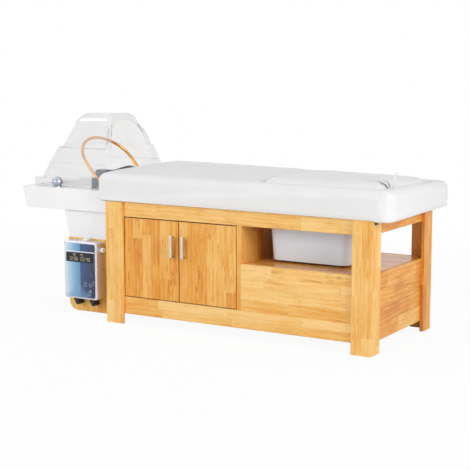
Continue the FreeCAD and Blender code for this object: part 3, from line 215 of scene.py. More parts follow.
# Where that noise counts as a pore or a dash, and the patches of spots that hold the dashes
PORE_EDGE = (0.66, 0.74)
DASH_EDGE = (0.58, 0.72)
DASH_PATCHES = (0.42, 0.62)
# Growth rings: radians per metre across the grain, and how far the drift and the cut shift them
RING_RATE = 260.0
RING_DRIFT = 15.0
RING_SHIFT = 6.0
# Weights of the figure in the tone of a stick, and the tone taken as the middle
RING_SHARE = 0.13
STREAK_SHARE = 0.74
SPOT_SHARE = 0.60
MIDDLE_TONE = 0.39
# How far each dark mark covers the wood, and how far the painted gap shade covers it
PORE_DEPTH = 0.34
KNOT_DEPTH = 0.55
GLUE_DEPTH = 0.45
GAP_SHADE_DEPTH = 0.8
# Knots: cells per metre along and across, share of sticks without one, edge of the eye, and radius, edge
# and patches of the broken ring; the streaks warp both
KNOT_ALONG = 2.3
KNOT_ACROSS = 6.4
KNOT_FREE = (0.74, 0.76)
EYE_EDGE = (0.075, 0.035)
EYE_WARP = 0.05
KNOT_RING = 0.21
KNOT_RING_EDGE = (0.020, 0.006)
KNOT_RING_PATCHES = (0.44, 0.58, 0.0, 0.5)
KNOT_RING_WARP = 0.16
GLUE_HALF = 0.0006
# The painted shade at a board's edges is this much finer at its sides than at its ends
GAP_SHADE_FINER = 1.8


def wood(node, along, across, width, length, seed, tone_and_shade=0.0,
         gloss=0.34, spread=0.42, flecks=0.42, gap_shade=0.0):
    """A board glued up from whole strips that run along one axis and lie side by side along another."""
    g = Graph("wood_" + node)
    place = g.axes()
    third = ({X, Y, Z} - {along, across}).pop()
    u, v, w = place[along], place[across], place[third]
    grain = g.math("ADD", v, w)
    low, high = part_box(node)
    start, end = low[across] - STRIP_MARGIN, high[across] + STRIP_MARGIN
    count = max(1, round((end - start) / width))
    width = (end - start) / count
    side = g.math("DIVIDE", g.math("SUBTRACT", v, start), width)
    row = g.math("FLOOR", side)
    shift = g.random(g.vector(row, seed, SHIFT_SEED))
    run = g.math("ADD", g.math("DIVIDE", u, length), g.times(shift, STRIP_SHIFT))
    stick = g.math("FLOOR", run)
    cell = g.random(g.vector(row, stick, seed))
    other = g.random(g.vector(stick, row, seed + SECOND_SEED))
    log = g.math("ADD", u, g.times(cell, CUT_REACH))

    def figure(rate_along, rate_across, detail, rough):
        return g.noise(g.vector(g.times(log, rate_along), g.times(grain, rate_across), w), 1.0, detail, rough)

    def joints(steps, size):
        # 1 on the lines where a strip or stick meets the next
        return g.span(g.away(g.math("FRACT", steps), 0.5), 0.5 - GLUE_HALF / size, 0.5)

    def inset(value, axis):
        return g.math("MINIMUM", g.math("SUBTRACT", value, low[axis]), g.math("SUBTRACT", high[axis], value))

    rings = g.total((grain, RING_RATE), (figure(*DRIFT), RING_DRIFT), (other, RING_SHIFT))
    rings = g.math("ADD", g.times(g.math("SINE", rings), 0.5), 0.5)
    streak = figure(*STREAKS)
    fibre = figure(*FIBRES)
    pores = g.span(figure(*PORES), *PORE_EDGE)
    spots = figure(*SPOTS)
    dashes = g.math("MULTIPLY", g.span(figure(*DASHES), *DASH_EDGE), g.span(spots, *DASH_PATCHES))
    value = g.total((cell, spread), (rings, RING_SHARE), (streak, STREAK_SHARE), (spots, SPOT_SHARE))
    # The tone shift moves the board along the ramp: partly its own tone, partly painted shade where less
    # light reaches it
    value = g.math("ADD", value, tone_and_shade - MIDDLE_TONE - spread / 2)
    colour = g.ramp(value, WOOD_RAMP)
    colour = g.mix(g.times(pores, PORE_DEPTH), colour, PORE_WOOD)
    colour = g.mix(g.times(dashes, flecks), colour, FLECK_WOOD)
    # Knots in a few sticks: a dark eye with a broken ring round it
    middle = g.vector(g.times(log, KNOT_ALONG), g.times(grain, KNOT_ACROSS), 0.0)
    reach = g.cells(middle, 1.0, voronoi_dimensions="2D", feature="F1").outputs["Distance"]
    eye = g.span(g.math("ADD", reach, g.times(streak, EYE_WARP)), *EYE_EDGE)
    ring = g.away(g.math("ADD", reach, g.times(streak, KNOT_RING_WARP)), KNOT_RING)
    ring = g.math("MULTIPLY", g.span(ring, *KNOT_RING_EDGE), g.span(spots, *KNOT_RING_PATCHES))
    knot = g.math("MULTIPLY", g.math("MAXIMUM", eye, ring), g.span(other, *KNOT_FREE))
    colour = g.mix(g.times(knot, KNOT_DEPTH), colour, PORE_WOOD)
    # Glue lines between strips and at the ends of the sticks
    glue = g.math("MAXIMUM", joints(side, width), joints(run, length))
    colour = g.mix(g.times(glue, GLUE_DEPTH), colour, DARK_WOOD)
    if gap_shade:
        # Painted shade along the edges where the board meets a gap, for the shadow in the gap
        nearest = g.math("MINIMUM", g.times(inset(v, across), GAP_SHADE_FINER), inset(u, along))
        colour = g.mix(g.times(g.span(nearest, gap_shade, gap_shade * 0.6), GAP_SHADE_DEPTH), colour, GAP_SHADE_WOOD)
    relief = g.math("SUBTRACT", g.total((fibre, 0.5), (pores, -0.8)), glue)
    g.round_edges(g.bump(relief, strength=0.10, distance=0.0006), radius=0.0022)
    rough = g.span(streak, 0.3, 0.7, gloss, gloss + 0.14)
    return g.set(Base_Color=colour, Roughness=rough, Specular_IOR_Level=0.3, Coat_Weight=0.12,
                 Coat_Roughness=0.18)


# Other materials


def leather(name, white):
    """Smooth upholstery with a fine pebble grain and faint stretch folds."""
    g = Graph(name)
    place = g.place()
    warp = g.noise(place, scale=260.0, detail=2.0)
    moved = g.add("ShaderNodeVectorMath", operation="ADD")
    g.feed(moved.inputs[0], place)
    g.feed(moved.inputs[1], g.vector(g.times(warp, 0.0016), g.times(warp, 0.0012), warp))
    cells = g.cells(moved.outputs[0], scale=620.0, feature="SMOOTH_F1")
    cells.inputs["Smoothness"].default_value = 0.5
    pebbles = cells.outputs["Distance"]
    soft = g.noise(place, scale=9.0, detail=3.0)
    fold = g.noise(g.scaled(place, (1.0, 1.0, 5.0)), scale=6.0, detail=2.0)
    g.bump(g.math("ADD", pebbles, g.times(fold, 1.6)), strength=0.10, distance=0.0014)
    shade = g.total((soft, 0.6), (pebbles, 0.5))
    colour = g.mix(g.span(shade, 0.3, 0.8), white, dimmed(white, 0.955))
    rough = g.span(soft, 0.3, 0.7, 0.44, 0.56)
    return g.set(Base_Color=colour, Roughness=rough, Specular_IOR_Level=0.4, Sheen_Weight=0.06,
                 Sheen_Roughness=0.4)


def plastic(name, colour, rough, grain=900.0, depth=0.03, edge=0.0015):
    """Moulded plastic or rubber: faint flow marks, a very fine texture and softened edges."""
    g = Graph(name)
    place = g.place()
    flow = g.noise(place, scale=5.0, detail=2.0)
    fine = g.noise(place, scale=grain, detail=2.0)
    mixed = g.mix(g.span(flow, 0.35, 0.7), colour, dimmed(colour, 0.955))
    g.round_edges(g.bump(fine, strength=depth, distance=0.0006), radius=edge)
    return g.set(Base_Color=mixed, Roughness=g.span(flow, 0.3, 0.7, rough, rough + 0.08))


# Scale of the marks on metal, and their scale along the brushing
METAL_MARKS = 420.0
BRUSHED_MARKS = 8.0


def metal(name, colour, rough, brushed=None, share=1.0):
    """Metal with faint tarnish, brushed along one axis if named."""
    g = Graph(name)
    place = g.place()
    cloud = g.noise(place, scale=22.0, detail=3.0)
    sizes = [METAL_MARKS, METAL_MARKS, METAL_MARKS]
    if brushed is not None:
        sizes[brushed] = BRUSHED_MARKS
    lines = g.noise(g.scaled(place, sizes), scale=3.0, detail=3.0)
    mixed = g.mix(g.span(cloud, 0.35, 0.75), colour, dimmed(colour, 0.86))
    g.round_edges(g.bump(lines, strength=0.03, distance=0.0003), radius=0.001)
    return g.set(Base_Color=mixed, Metallic=share, Roughness=g.span(lines, 0.3, 0.7, rough, rough + 0.1))


def clear(name, base, edge):
    """Clear moulded sheet with a faint grey tint, slight haze and softened corners."""
    g = Graph(name)
    haze = g.noise(g.place(), scale=7.0, detail=2.0)
    fine = g.noise(g.place(), scale=30.0, detail=2.0)
    g.round_edges(g.bump(fine, strength=0.02, distance=0.0008), radius=edge)
    colour = g.mix(haze, base, dimmed(base, 0.985))
    rough = g.span(haze, 0.3, 0.7, 0.02, 0.05)
    return g.set(Base_Color=colour, Roughness=rough, Transmission_Weight=0.91, IOR=1.06, Coat_Weight=1.0,
                 Coat_Roughness=0.06, Coat_IOR=1.5)


PANEL_PALE = (
    (0.0, tone(228, 239, 244)), (0.14, tone(184, 213, 229)), (0.30, tone(134, 180, 210)),
    (0.54, tone(84, 138, 184)),
)
PANEL_NAVY = ((0.30, tone(54, 84, 130)), (0.62, tone(36, 54, 88)), (0.80, tone(22, 34, 60)))
PANEL_BAND = tone(112, 158, 198)
PANEL_RING = tone(196, 216, 234)


def printed_panel(name):
    """Glossy blue front of the heater: pale half, navy half, a slanting band and a few rings."""
    g = Graph(name)
    axes = g.axes()
    x, z = axes[X], axes[Z]
    low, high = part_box("heater_panel")
    across = g.span(x, low[X], high[X])
    up = g.span(z, low[Z], high[Z])
    swell = g.noise(g.vector(g.times(x, 7.0), 0.0, g.times(z, 5.0)), scale=1.0, detail=2.0)
    soft = g.math("ADD", across, g.times(g.math("SUBTRACT", swell, 0.5), 0.12))
    pale = g.ramp(soft, PANEL_PALE)
    navy = g.ramp(g.total((soft, 0.8), (up, -0.18)), PANEL_NAVY)
    colour = g.mix(g.span(across, 0.515, 0.53), pale, navy)
    slope = g.math("ADD", up, g.times(g.away(across, 0.45), 0.55))
    colour = g.mix(g.span(slope, 0.30, 0.16, 0.0, 0.55), colour, PANEL_BAND)
    dots = g.cells(g.vector(x, 0.0, z), scale=30.0, feature="F1")
    hoop = g.span(g.away(dots.outputs["Distance"], 0.26), 0.05, 0.02)
    hoop = g.math("MULTIPLY", hoop, g.span(up, 0.48, 0.30))
    hoop = g.math("MULTIPLY", hoop, g.span(across, 0.40, 0.62))
    colour = g.mix(g.times(hoop, 0.5), colour, PANEL_RING)
    fine = g.noise(g.place(), scale=700.0, detail=2.0)
    g.round_edges(g.bump(fine, strength=0.02, distance=0.0005), radius=0.002)
    return g.set(Base_Color=colour, Roughness=0.24, Coat_Weight=0.3, Coat_Roughness=0.08)


def glow(name, colour, strength):
    """Faintly lit figures of a display."""
    g = Graph(name)
    flicker = g.noise(g.place(), scale=400.0, detail=1.0)
    mixed = g.mix(flicker, colour, dimmed(colour, 0.9))
    return g.set(Base_Color=mixed, Emission_Color=mixed, Emission_Strength=strength, Roughness=0.3)


# What each node is made of

STRIP = 0.052
STICK = 0.40
LEG_STICK = 0.36
# Kinds of board: axis along the strips, axis across them, width of a strip, length of a stick, and a tone
# shift that is partly the wood's own tone and partly painted shade for faces that take less light
WOODS = {
    "leg": (Z, X, STRIP, LEG_STICK, -0.17),
    # Painted shade: the front face of the foot-end leg is made darker, for the light that falls off towards
    # the foot end
    "leg_warm": (Z, X, STRIP, LEG_STICK, 0.08),
    "leg_side": (Z, Y, STRIP, LEG_STICK, -0.02),
    # Painted shade: the back leg at the foot end is made darker, on its end face and its far face
    "leg_back": (Z, Y, STRIP, LEG_STICK, 0.55),
    "leg_far": (Z, X, STRIP, LEG_STICK, 0.26),
    "rail": (X, Z, 0.056, STICK, -0.04),
    # Painted shade: the foot end's top rail and the end panels are made darker, for the shade they stand in
    "end_rail": (Y, Z, 0.056, STICK, 0.24),
    "panel": (X, Z, 0.058, STICK, -0.03),
    "end_panel": (Y, Z, 0.070, 0.34, 0.34),
    "stile": (Z, X, STRIP, 0.5, 0.0),
    "door": (Z, X, 0.054, 0.36, 0.24),
    # Painted shade: the divider is made darker for the deep shade inside the bay
    "divider": (Z, Y, 0.056, STICK, 0.42),
    "cheek": (Z, X, 0.058, 0.45, 0.10),
    "flat": (X, Y, 0.058, STICK, 0.12),
}
# Kinds with a figure of their own, and the painted shade along the doors' edges
FIGURES = {
    "door": {"spread": 0.30, "flecks": 0.85, "gap_shade": 0.0018},
    "rail": {"spread": 0.66},
    "panel": {"spread": 0.60},
    "leg_warm": {"spread": 0.56},
}
BOARDS = {
    "leg": "leg_face_front_head leg_face_back_head",
    "leg_warm": "leg_face_front_foot",
    "leg_side": "leg_end_head_front leg_end_head_back leg_end_foot_front",
    "leg_back": "leg_end_foot_back",
    "leg_far": "leg_face_back_foot",
    "rail": "rail_top_front rail_bottom_front rail_top_back rail_bottom_back",
    "end_rail": "rail_top_foot",
    "panel": "panel_low_front panel_low_back panel_back_cabinet",
    "end_panel": "panel_head panel_foot",
    "stile": "stile_head_front",
    "door": "door_left door_right",
    "divider": "divider",
    "cheek": "cheek_front cheek_back",
    "flat": "cabinet_floor deck support_shelf lid_board",
}
# Each board, in order of name, draws its sticks from a seed of its own
FIRST_SEED = 2.0
SEED_STEP = 1.7

LEATHER = leather("white_leather", tone(236, 236, 236))
WHITE = plastic("white_plastic", tone(250, 250, 251), 0.20)
NICKEL = metal("brushed_nickel", tone(214, 203, 190), 0.26, brushed=Z)
CHROME = metal("chrome_metal", tone(206, 210, 214), 0.10)
SATIN = metal("satin_chrome", tone(172, 179, 188), 0.26)
GOLD = metal("gold_metal", tone(226, 164, 88), 0.20, brushed=Y)
BLACK_STEEL = plastic("black_steel", tone(62, 63, 66), 0.36)
BLACK_PLASTIC = plastic("black_plastic", tone(40, 40, 42), 0.40)
BLACK_RUBBER = plastic("black_rubber", tone(30, 30, 32), 0.55)
ELBOW = plastic("black_elbow", tone(24, 24, 26), 0.14)
SILICONE = plastic("grey_silicone", tone(32, 46, 76), 0.46, grain=500.0, depth=0.05, edge=0.004)
GREY_PLASTIC = plastic("grey_plastic", tone(82, 90, 104), 0.34)
TUB = plastic("tub_plastic", tone(228, 241, 254), 0.26)
CLEAR = clear("clear_plastic", tone(247, 247, 247), 0.003)
SILVER = metal("silver_case", tone(218, 217, 224), 0.36, share=0.62)
PANEL = printed_panel("blue_panel")
DISPLAY = plastic("black_display", tone(14, 15, 20), 0.10, depth=0.01)
GLOW = glow("display_glow", tone(176, 170, 146), 0.18)
SHELF = wood("shelf", X, Y, 0.062, 0.5, 4.0, tone_and_shade=0.38, gloss=0.16)

PAINT = (
    (SHELF, "shelf"),
    (NICKEL, "handle_left handle_right"),
    (CHROME, "door_pins_left door_pins_right drain_strainer tap_base tap_knob heater_valve_stem"),
    (BLACK_STEEL, "mattress_brackets"),
    (BLACK_PLASTIC, "door_catch"),
    (BLACK_RUBBER, "tub_feet"),
    (ELBOW, "hose_elbows"),
    (TUB, "tub"),
    (WHITE, "pedestal basin heater_band heater_hanger heater_valve_knob"),
    (SILVER, "heater_case"),
    (PANEL, "heater_panel"),
    (DISPLAY, "heater_display"),
    (GOLD, "arch_pipe"),
    (GREY_PLASTIC, "arch_sockets"),
    (CLEAR, "hood_collar hood_skirt hood_dome"),
    (SILICONE, "neck_rest"),
    (LEATHER, "mattress lid_pad pull_strap"),
)


def paint(item, material):
    item.data.materials.clear()
    item.data.materials.append(material)


boards = sorted((board, kind) for kind, names in BOARDS.items() for board in names.split())
for number, (board, kind) in enumerate(boards):
    *grid, tone_and_shade = WOODS[kind]
    paint(NODES[board], wood(board, *grid, number * SEED_STEP + FIRST_SEED, tone_and_shade, **FIGURES.get(kind, {})))
for material, names in PAINT:
    for name in names.split():
        paint(NODES[name], material)


# Building and smoothing meshes

LEAST_CORNER = 0.004


def outline(x0, x1, y0, y1, head, foot, steps=8):
    """Points round a rectangle, counter-clockwise, with rounded corners at its head and its foot end."""
    points = []
    corners = ((x1, y1, 0, foot), (x0, y1, 90, head), (x0, y0, 180, head), (x1, y0, 270, foot))
    for cx, cy, start, radius in corners:
        mx = cx - radius if cx == x1 else cx + radius
        my = cy - radius if cy == y1 else cy + radius
        for step in range(steps + 1):
            turn = math.radians(start + 90 * step / steps)
            points.append((mx + radius * math.cos(turn), my + radius * math.sin(turn)))
    return points


def quarter(steps=5):
    """Angles of a quarter turn in even steps."""
    return [QUARTER_TURN * step / steps for step in range(steps + 1)]


def rolled(box, head, foot, low, high, low_round, high_round):
    """Levels of a rounded block: (outline points, height) from the bottom to the top."""
    x0, x1, y0, y1 = box
    levels = []
    for turn in quarter():
        levels.append((low_round * (1 - math.sin(turn)), low + low_round * (1 - math.cos(turn))))
    for turn in quarter():
        levels.append((high_round * (1 - math.cos(turn)), high - high_round * (1 - math.sin(turn))))
    rings = []
    for inset, z in levels:
        corners = (max(head - inset, LEAST_CORNER), max(foot - inset, LEAST_CORNER))
        rings.append((outline(x0 + inset, x1 - inset, y0 + inset, y1 - inset, *corners), z))
    return rings


def tube(form, rows):
    """Quads between closed rows of points."""
    for lower, upper in zip(rows, rows[1:]):
        count = len(lower)
        for i in range(count):
            j = (i + 1) % count
            form.faces.new((lower[i], lower[j], upper[j], upper[i]))


def strips(form, rings):
    """Quads between open rows of points."""
    rows = [[form.verts.new(point) for point in ring] for ring in rings]
    for a, b in zip(rows, rows[1:]):
        for i in range(len(a) - 1):
            form.faces.new((a[i], a[i + 1], b[i + 1], b[i]))
    return rows


def skin(form, levels):
    """Adds rings of points and the quads between them; returns the lowest and highest ring."""
    rings = [[form.verts.new((x, y, z)) for x, y in points] for points, z in levels]
    tube(form, rings)
    return rings[0], rings[-1]


def fill(form, rings):
    """Flat face between closed rings of points."""
    edges = []
    for ring in rings:
        for a, b in zip(ring, ring[1:] + ring[:1]):
            edges.append(form.edges.get((a, b)) or form.edges.new((a, b)))
    bmesh.ops.triangle_fill(form, edges=edges, use_beauty=True)


def finished(form, name):
    bmesh.ops.recalc_face_normals(form, faces=form.faces)
    mesh = bpy.data.meshes.new(name)
    form.to_mesh(mesh)
    form.free()
    item = bpy.data.objects.new(name, mesh)
    bpy.context.scene.collection.objects.link(item)
    return item


def applied(item):
    """Makes what the modifiers give the item's own mesh."""
    graph = bpy.context.evaluated_depsgraph_get()
    mesh = bpy.data.meshes.new_from_object(item.evaluated_get(graph))
    item.modifiers.clear()
    old = item.data
    item.data = mesh
    bpy.data.meshes.remove(old)


def smooth(item):
    for face in item.data.polygons:
        face.use_smooth = True


def remeshed(item, voxel):
    step = item.modifiers.new("voxels", "REMESH")
    step.mode = "VOXEL"
    step.voxel_size = voxel
    applied(item)
    even = item.modifiers.new("even", "SMOOTH")
    even.factor = 0.5
    even.iterations = 4
    applied(item)


def subdivided(item):
    step = item.modifiers.new("fine", "SUBSURF")
    step.levels = 1
    step.render_levels = 1
    applied(item)
    smooth(item)


def closed(form, name, rows):
    """Smooth body with closed rows of points along it and a flat face at each end."""
    tube(form, rows)
    form.faces.new(rows[0])
    form.faces.new(rows[-1][::-1])
    bmesh.ops.remove_doubles(form, verts=form.verts, dist=0.00001)
    item = finished(form, name)
    subdivided(item)
    return item


def unit(value):
    """Value held between 0 and 1."""
    return min(1.0, max(0.0, value))


def share_of(value, low, high):
    return (value - low) / (high - low)


# Mattress and lid

mat_low, mat_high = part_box("mattress")
lid_low, lid_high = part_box("lid_pad")
board_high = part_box("lid_board")[1]
# No point of a cover moves further than this when it is blown up
SWELL = 0.004
# Mattress: height where its sides end, inset before it swells, corners in plan, rolls along its edges
MAT_EDGE = mat_low[Z] + 0.138
MAT_INSET = SWELL * 0.6
MAT_LIFT = 0.0005
MAT_HEAD_CORNER = 0.016
MAT_FOOT_CORNER = 0.046
MAT_LOW_ROUND = 0.008
MAT_HIGH_ROUND = 0.034
MAT_VOXEL = 0.0085
MAT_HELD = 0.012
MAT_CROWN = 0.010
MAT_RUMPLE = (0.0022, 0.21)
# Mattress on its frame: least gap under it, lift at the back of the head end and fall at the back of the
# foot end with their growth along the bed and towards the back, and hang over the legs
MAT_REST = 0.0003
HEAD_LIFT = 0.015
HEAD_FADE = 1.4
FOOT_FALL = 0.014
FOOT_GROWTH = 2.2
BACK_GROWTH = 0.8
HANG = 0.011
HANG_REACH = 0.006
# Hole for the lid: gap round the lid, corner in plan, roll of its upper edge, and the least gap that is kept
GAP = 0.0045
HOLE_CORNER = 0.042
HOLE_ROUND = 0.030
HOLE_SLACK = 0.0012
HOLE_BAND = 0.03
WALL_BAND = 0.006
WALL_TOP = MAT_EDGE - 0.01
# Lid: the same measures, and how far its far corner sinks with its growth along and across
LID_EDGE = 0.758
LID_INSET = SWELL * 0.9
LID_LIFT = 0.0004
LID_CORNER = 0.038
LID_LOW_ROUND = 0.006
LID_HIGH_ROUND = 0.044
LID_VOXEL = 0.0075
LID_HELD = 0.010
LID_CROWN = 0.016
LID_RUMPLE = (0.0020, 0.17)
LID_REST = 0.0002
LID_FALL = 0.012
LID_GROWTH = 1.5
# A crown falls by this share towards its head and foot ends
CROWN_FALL = 0.35


def inflate(item, held, cap, pressure=4.0, frames=20):
    """Blows the cover up a little as cloth; points below held stay, and none moves further than cap."""
    scene = bpy.context.scene
    start = [v.co.copy() for v in item.data.vertices]
    group = item.vertex_groups.new(name="held")
    group.add([i for i, co in enumerate(start) if co.z < held], 1.0, "REPLACE")
    cloth = item.modifiers.new("cloth", "CLOTH")
    cloth.settings.use_pressure = True
    cloth.settings.uniform_pressure_force = pressure
    cloth.settings.effector_weights.gravity = 0.0
    cloth.settings.vertex_group_mass = "held"
    cloth.settings.mass = 0.4
    cloth.settings.quality = 3
    cloth.collision_settings.use_collision = False
    cloth.point_cache.frame_start = 1
    cloth.point_cache.frame_end = frames
    for number in range(1, frames + 1):
        scene.frame_set(number)
    applied(item)
    scene.frame_set(1)
    for vertex, before in zip(item.data.vertices, start):
        move = vertex.co - before
        if move.length > cap:
            vertex.co = before + move * (cap / move.length)
    item.vertex_groups.clear()


def crowned(item, base, edge, rise, low, high):
    """Lifts the upper part towards the middle."""
    half = (high[X] - low[X]) / 2
    middle = (low[X] + high[X]) / 2
    for vertex in item.data.vertices:
        co = vertex.co
        bow = (1 - (co.y / high[Y]) ** 2) * (1 - CROWN_FALL * ((co.x - middle) / half) ** 4)
        co.z += rise * max(0.0, share_of(co.z, base, edge)) * max(0.0, bow)


def rumpled(item, base, edge, depth, size):
    """Slow unevenness of a hand-covered pad, none where it rests."""
    item.data.update()
    moves = []
    for vertex in item.data.vertices:
        co = vertex.co
        place = Vector((co.x / size, co.y / size, co.z / (size * 0.4)))
        moves.append(vertex.normal * noise.noise(place) * depth * unit(share_of(co.z, base, edge)))
    for vertex, move in zip(item.data.vertices, moves):
        vertex.co += move


def puffed(form, name, voxel, base, edge, held, crown, rumple, low, high):
    """Cover swollen as cloth, crowned and made a little uneven above its base."""
    item = finished(form, name)
    remeshed(item, voxel)
    inflate(item, base + held, SWELL)
    crowned(item, base, edge, crown, low, high)
    rumpled(item, base, edge, *rumple)
    return item


def clear_hole(item, hole):
    """Keeps the walls round the lid's place off the lid, and the underside on its rest."""
    x0, x1, y0, y1 = hole
    for vertex in item.data.vertices:
        co = vertex.co
        co.z = max(co.z, mat_low[Z] + MAT_REST)
        beside = x0 - HOLE_BAND < co.x < x1 + HOLE_BAND and y0 - HOLE_BAND < co.y < y1 + HOLE_BAND
        if beside and co.z < WALL_TOP:
            for axis, low, high in ((X, x0, x1), (Y, y0, y1)):
                if abs(co[axis] - low) < WALL_BAND:
                    co[axis] = min(co[axis], low + HOLE_SLACK)
                if abs(co[axis] - high) < WALL_BAND:
                    co[axis] = max(co[axis], high - HOLE_SLACK)


def settled(item):
    """Lifts the back edge at the head end and lets the cover hang over the frame towards the foot end."""
    leg_low, leg_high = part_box("leg_face_front_foot")
    for vertex in item.data.vertices:
        co = vertex.co
        along = share_of(co.x, mat_low[X], mat_high[X])
        back = unit(share_of(co.y, mat_low[Y], mat_high[Y]))
        up = unit(share_of(co.z, mat_low[Z], MAT_EDGE))
        lift = HEAD_LIFT * max(0.0, 1 - HEAD_FADE * along)
        lift -= FOOT_FALL * max(0.0, FOOT_GROWTH * (along - 1) + 1)
        outside = max(abs(co.y) + leg_low[Y], co.x - leg_high[X], 0.0)
        hang = min(1.0, outside / HANG_REACH) * (1 - up) ** 2 * (1 - back)
        co.z += lift * up * back ** BACK_GROWTH - HANG * along * hang


def make_mattress():
    form = bmesh.new()
    box = (mat_low[X] + MAT_INSET, mat_high[X] - MAT_INSET, mat_low[Y] + MAT_INSET, mat_high[Y] - MAT_INSET)
    bottom = mat_low[Z] + MAT_LIFT
    levels = rolled(box, MAT_HEAD_CORNER, MAT_FOOT_CORNER, bottom, MAT_EDGE, MAT_LOW_ROUND, MAT_HIGH_ROUND)
    out_low, out_high = skin(form, levels)
    hole = (lid_low[X] - GAP, lid_high[X] + GAP, lid_low[Y] - GAP, lid_high[Y] + GAP)
    x0, x1, y0, y1 = hole
    marks = [(0.0, bottom)]
    for turn in quarter():
        marks.append((HOLE_ROUND * (1 - math.cos(turn)), MAT_EDGE - HOLE_ROUND * (1 - math.sin(turn))))
    levels = []
    for grow, z in marks:
        corner = HOLE_CORNER + grow
        levels.append((outline(x0 - grow, x1 + grow, y0 - grow, y1 + grow, corner, corner), z))
    in_low, in_high = skin(form, levels)
    fill(form, (out_low, in_low))
    fill(form, (out_high, in_high))
    item = puffed(form, "mattress_cover", MAT_VOXEL, mat_low[Z], MAT_EDGE, MAT_HELD, MAT_CROWN, MAT_RUMPLE,
                  mat_low, mat_high)
    clear_hole(item, hole)
    settled(item)
    subdivided(item)
    return item


def slumped(item):
    """Lets the lid's far corner at the foot end sink level with the mattress round it."""
    for vertex in item.data.vertices:
        co = vertex.co
        along = share_of(co.x, lid_low[X], lid_high[X])
        back = unit(share_of(co.y, lid_low[Y], lid_high[Y]))
        up = unit(share_of(co.z, board_high[Z], LID_EDGE))
        co.z -= LID_FALL * up * unit(LID_GROWTH * (along - 1) + 1) * back ** LID_GROWTH


def make_lid():
    form = bmesh.new()
    box = (lid_low[X] + LID_INSET, lid_high[X] - LID_INSET, lid_low[Y] + LID_INSET, lid_high[Y] - LID_INSET)
    base = board_high[Z]
    levels = rolled(box, LID_CORNER, LID_CORNER, base + LID_LIFT, LID_EDGE, LID_LOW_ROUND, LID_HIGH_ROUND)
    low, high = skin(form, levels)
    fill(form, (low,))
    fill(form, (high,))
    item = puffed(form, "lid_cover", LID_VOXEL, base, LID_EDGE, LID_HELD, LID_CROWN, LID_RUMPLE,
                  lid_low, lid_high)
    slumped(item)
    for vertex in item.data.vertices:
        co = vertex.co
        co.x = min(max(co.x, lid_low[X]), lid_high[X])
        co.y = min(max(co.y, lid_low[Y]), lid_high[Y])
        co.z = max(co.z, base + LID_REST)
    subdivided(item)
    return item


# Strap and neck rest

strap_low, strap_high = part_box("pull_strap")
neck_low, neck_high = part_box("neck_rest")
# Strap: distance of its seam from the lid's foot end and below the lid's edge, and thickness
STRAP_SETBACK = 0.002
STRAP_DROP = 0.021
STRAP_THICK = 0.0028
# Strap from the tip that stands to the tip that lies: steps from the seam along X and up, and lean
STRAP_PATH = (
    (0.026, 0.079, 0.005), (0.023, 0.069, 0.004), (0.015, 0.049, 0.002), (0.008, 0.029, 0.001),
    (0.003, 0.013, 0.0), (0.0005, 0.003, 0.0), (-0.0015, 0.0, 0.0), (-0.0045, 0.004, 0.0),
    (-0.010, 0.018, 0.0), (-0.022, 0.031, -0.001), (-0.036, 0.039, -0.003), (-0.050, 0.043, -0.005),
    (-0.054, 0.042, -0.005),
)
# The long edges of a band are this share of its thickness
THIN_EDGE = 0.55
# Neck rest: half width and thickness of its tongue, height of its seat above the tongue's foot, rounding
# of its tips as a share of half its width and as a length, and the dip in its middle
NECK_TONGUE_HALF = 0.064
NECK_TONGUE = 0.021
NECK_SEAT = 0.0202
NECK_TIP = 0.06
NECK_TIP_ROUND = 0.008
NECK_DIP = 0.013
NECK_DIP_WIDTH = 0.5


def ribbon(name, path, width, thick, middle_y, steps=6):
    """Flat band of even thickness along a path in the XZ plane, subdivided smooth."""
    form = bmesh.new()
    rows = []
    count = len(path)
    for i, (x, z, lean) in enumerate(path):
        before = Vector(path[max(i - 1, 0)][:2])
        after = Vector(path[min(i + 1, count - 1)][:2])
        way = (after - before).normalized()
        out = Vector((-way.y, way.x)) * thick / 2
        row = []
        for sign in (1, -1):
            for step in range(steps + 1):
                y = middle_y + lean + (step / steps - 0.5) * width
                edge = THIN_EDGE if step in (0, steps) else 1.0
                row.append(form.verts.new((x + sign * out.x * edge, y, z + sign * out.y * edge)))
        rows.append(row[:steps + 1] + row[steps + 1:][::-1])
    return closed(form, name, rows)


def make_strap():
    """Limp strap sewn into the lid's foot edge: one tail stands up, the other lies over the lid."""
    x = lid_high[X] - STRAP_SETBACK
    y = (strap_low[Y] + strap_high[Y]) / 2
    root = LID_EDGE - STRAP_DROP
    path = [(x + step, root + rise, lean) for step, rise, lean in STRAP_PATH]
    return ribbon("strap_tails", path, strap_high[Y] - strap_low[Y], STRAP_THICK, y)


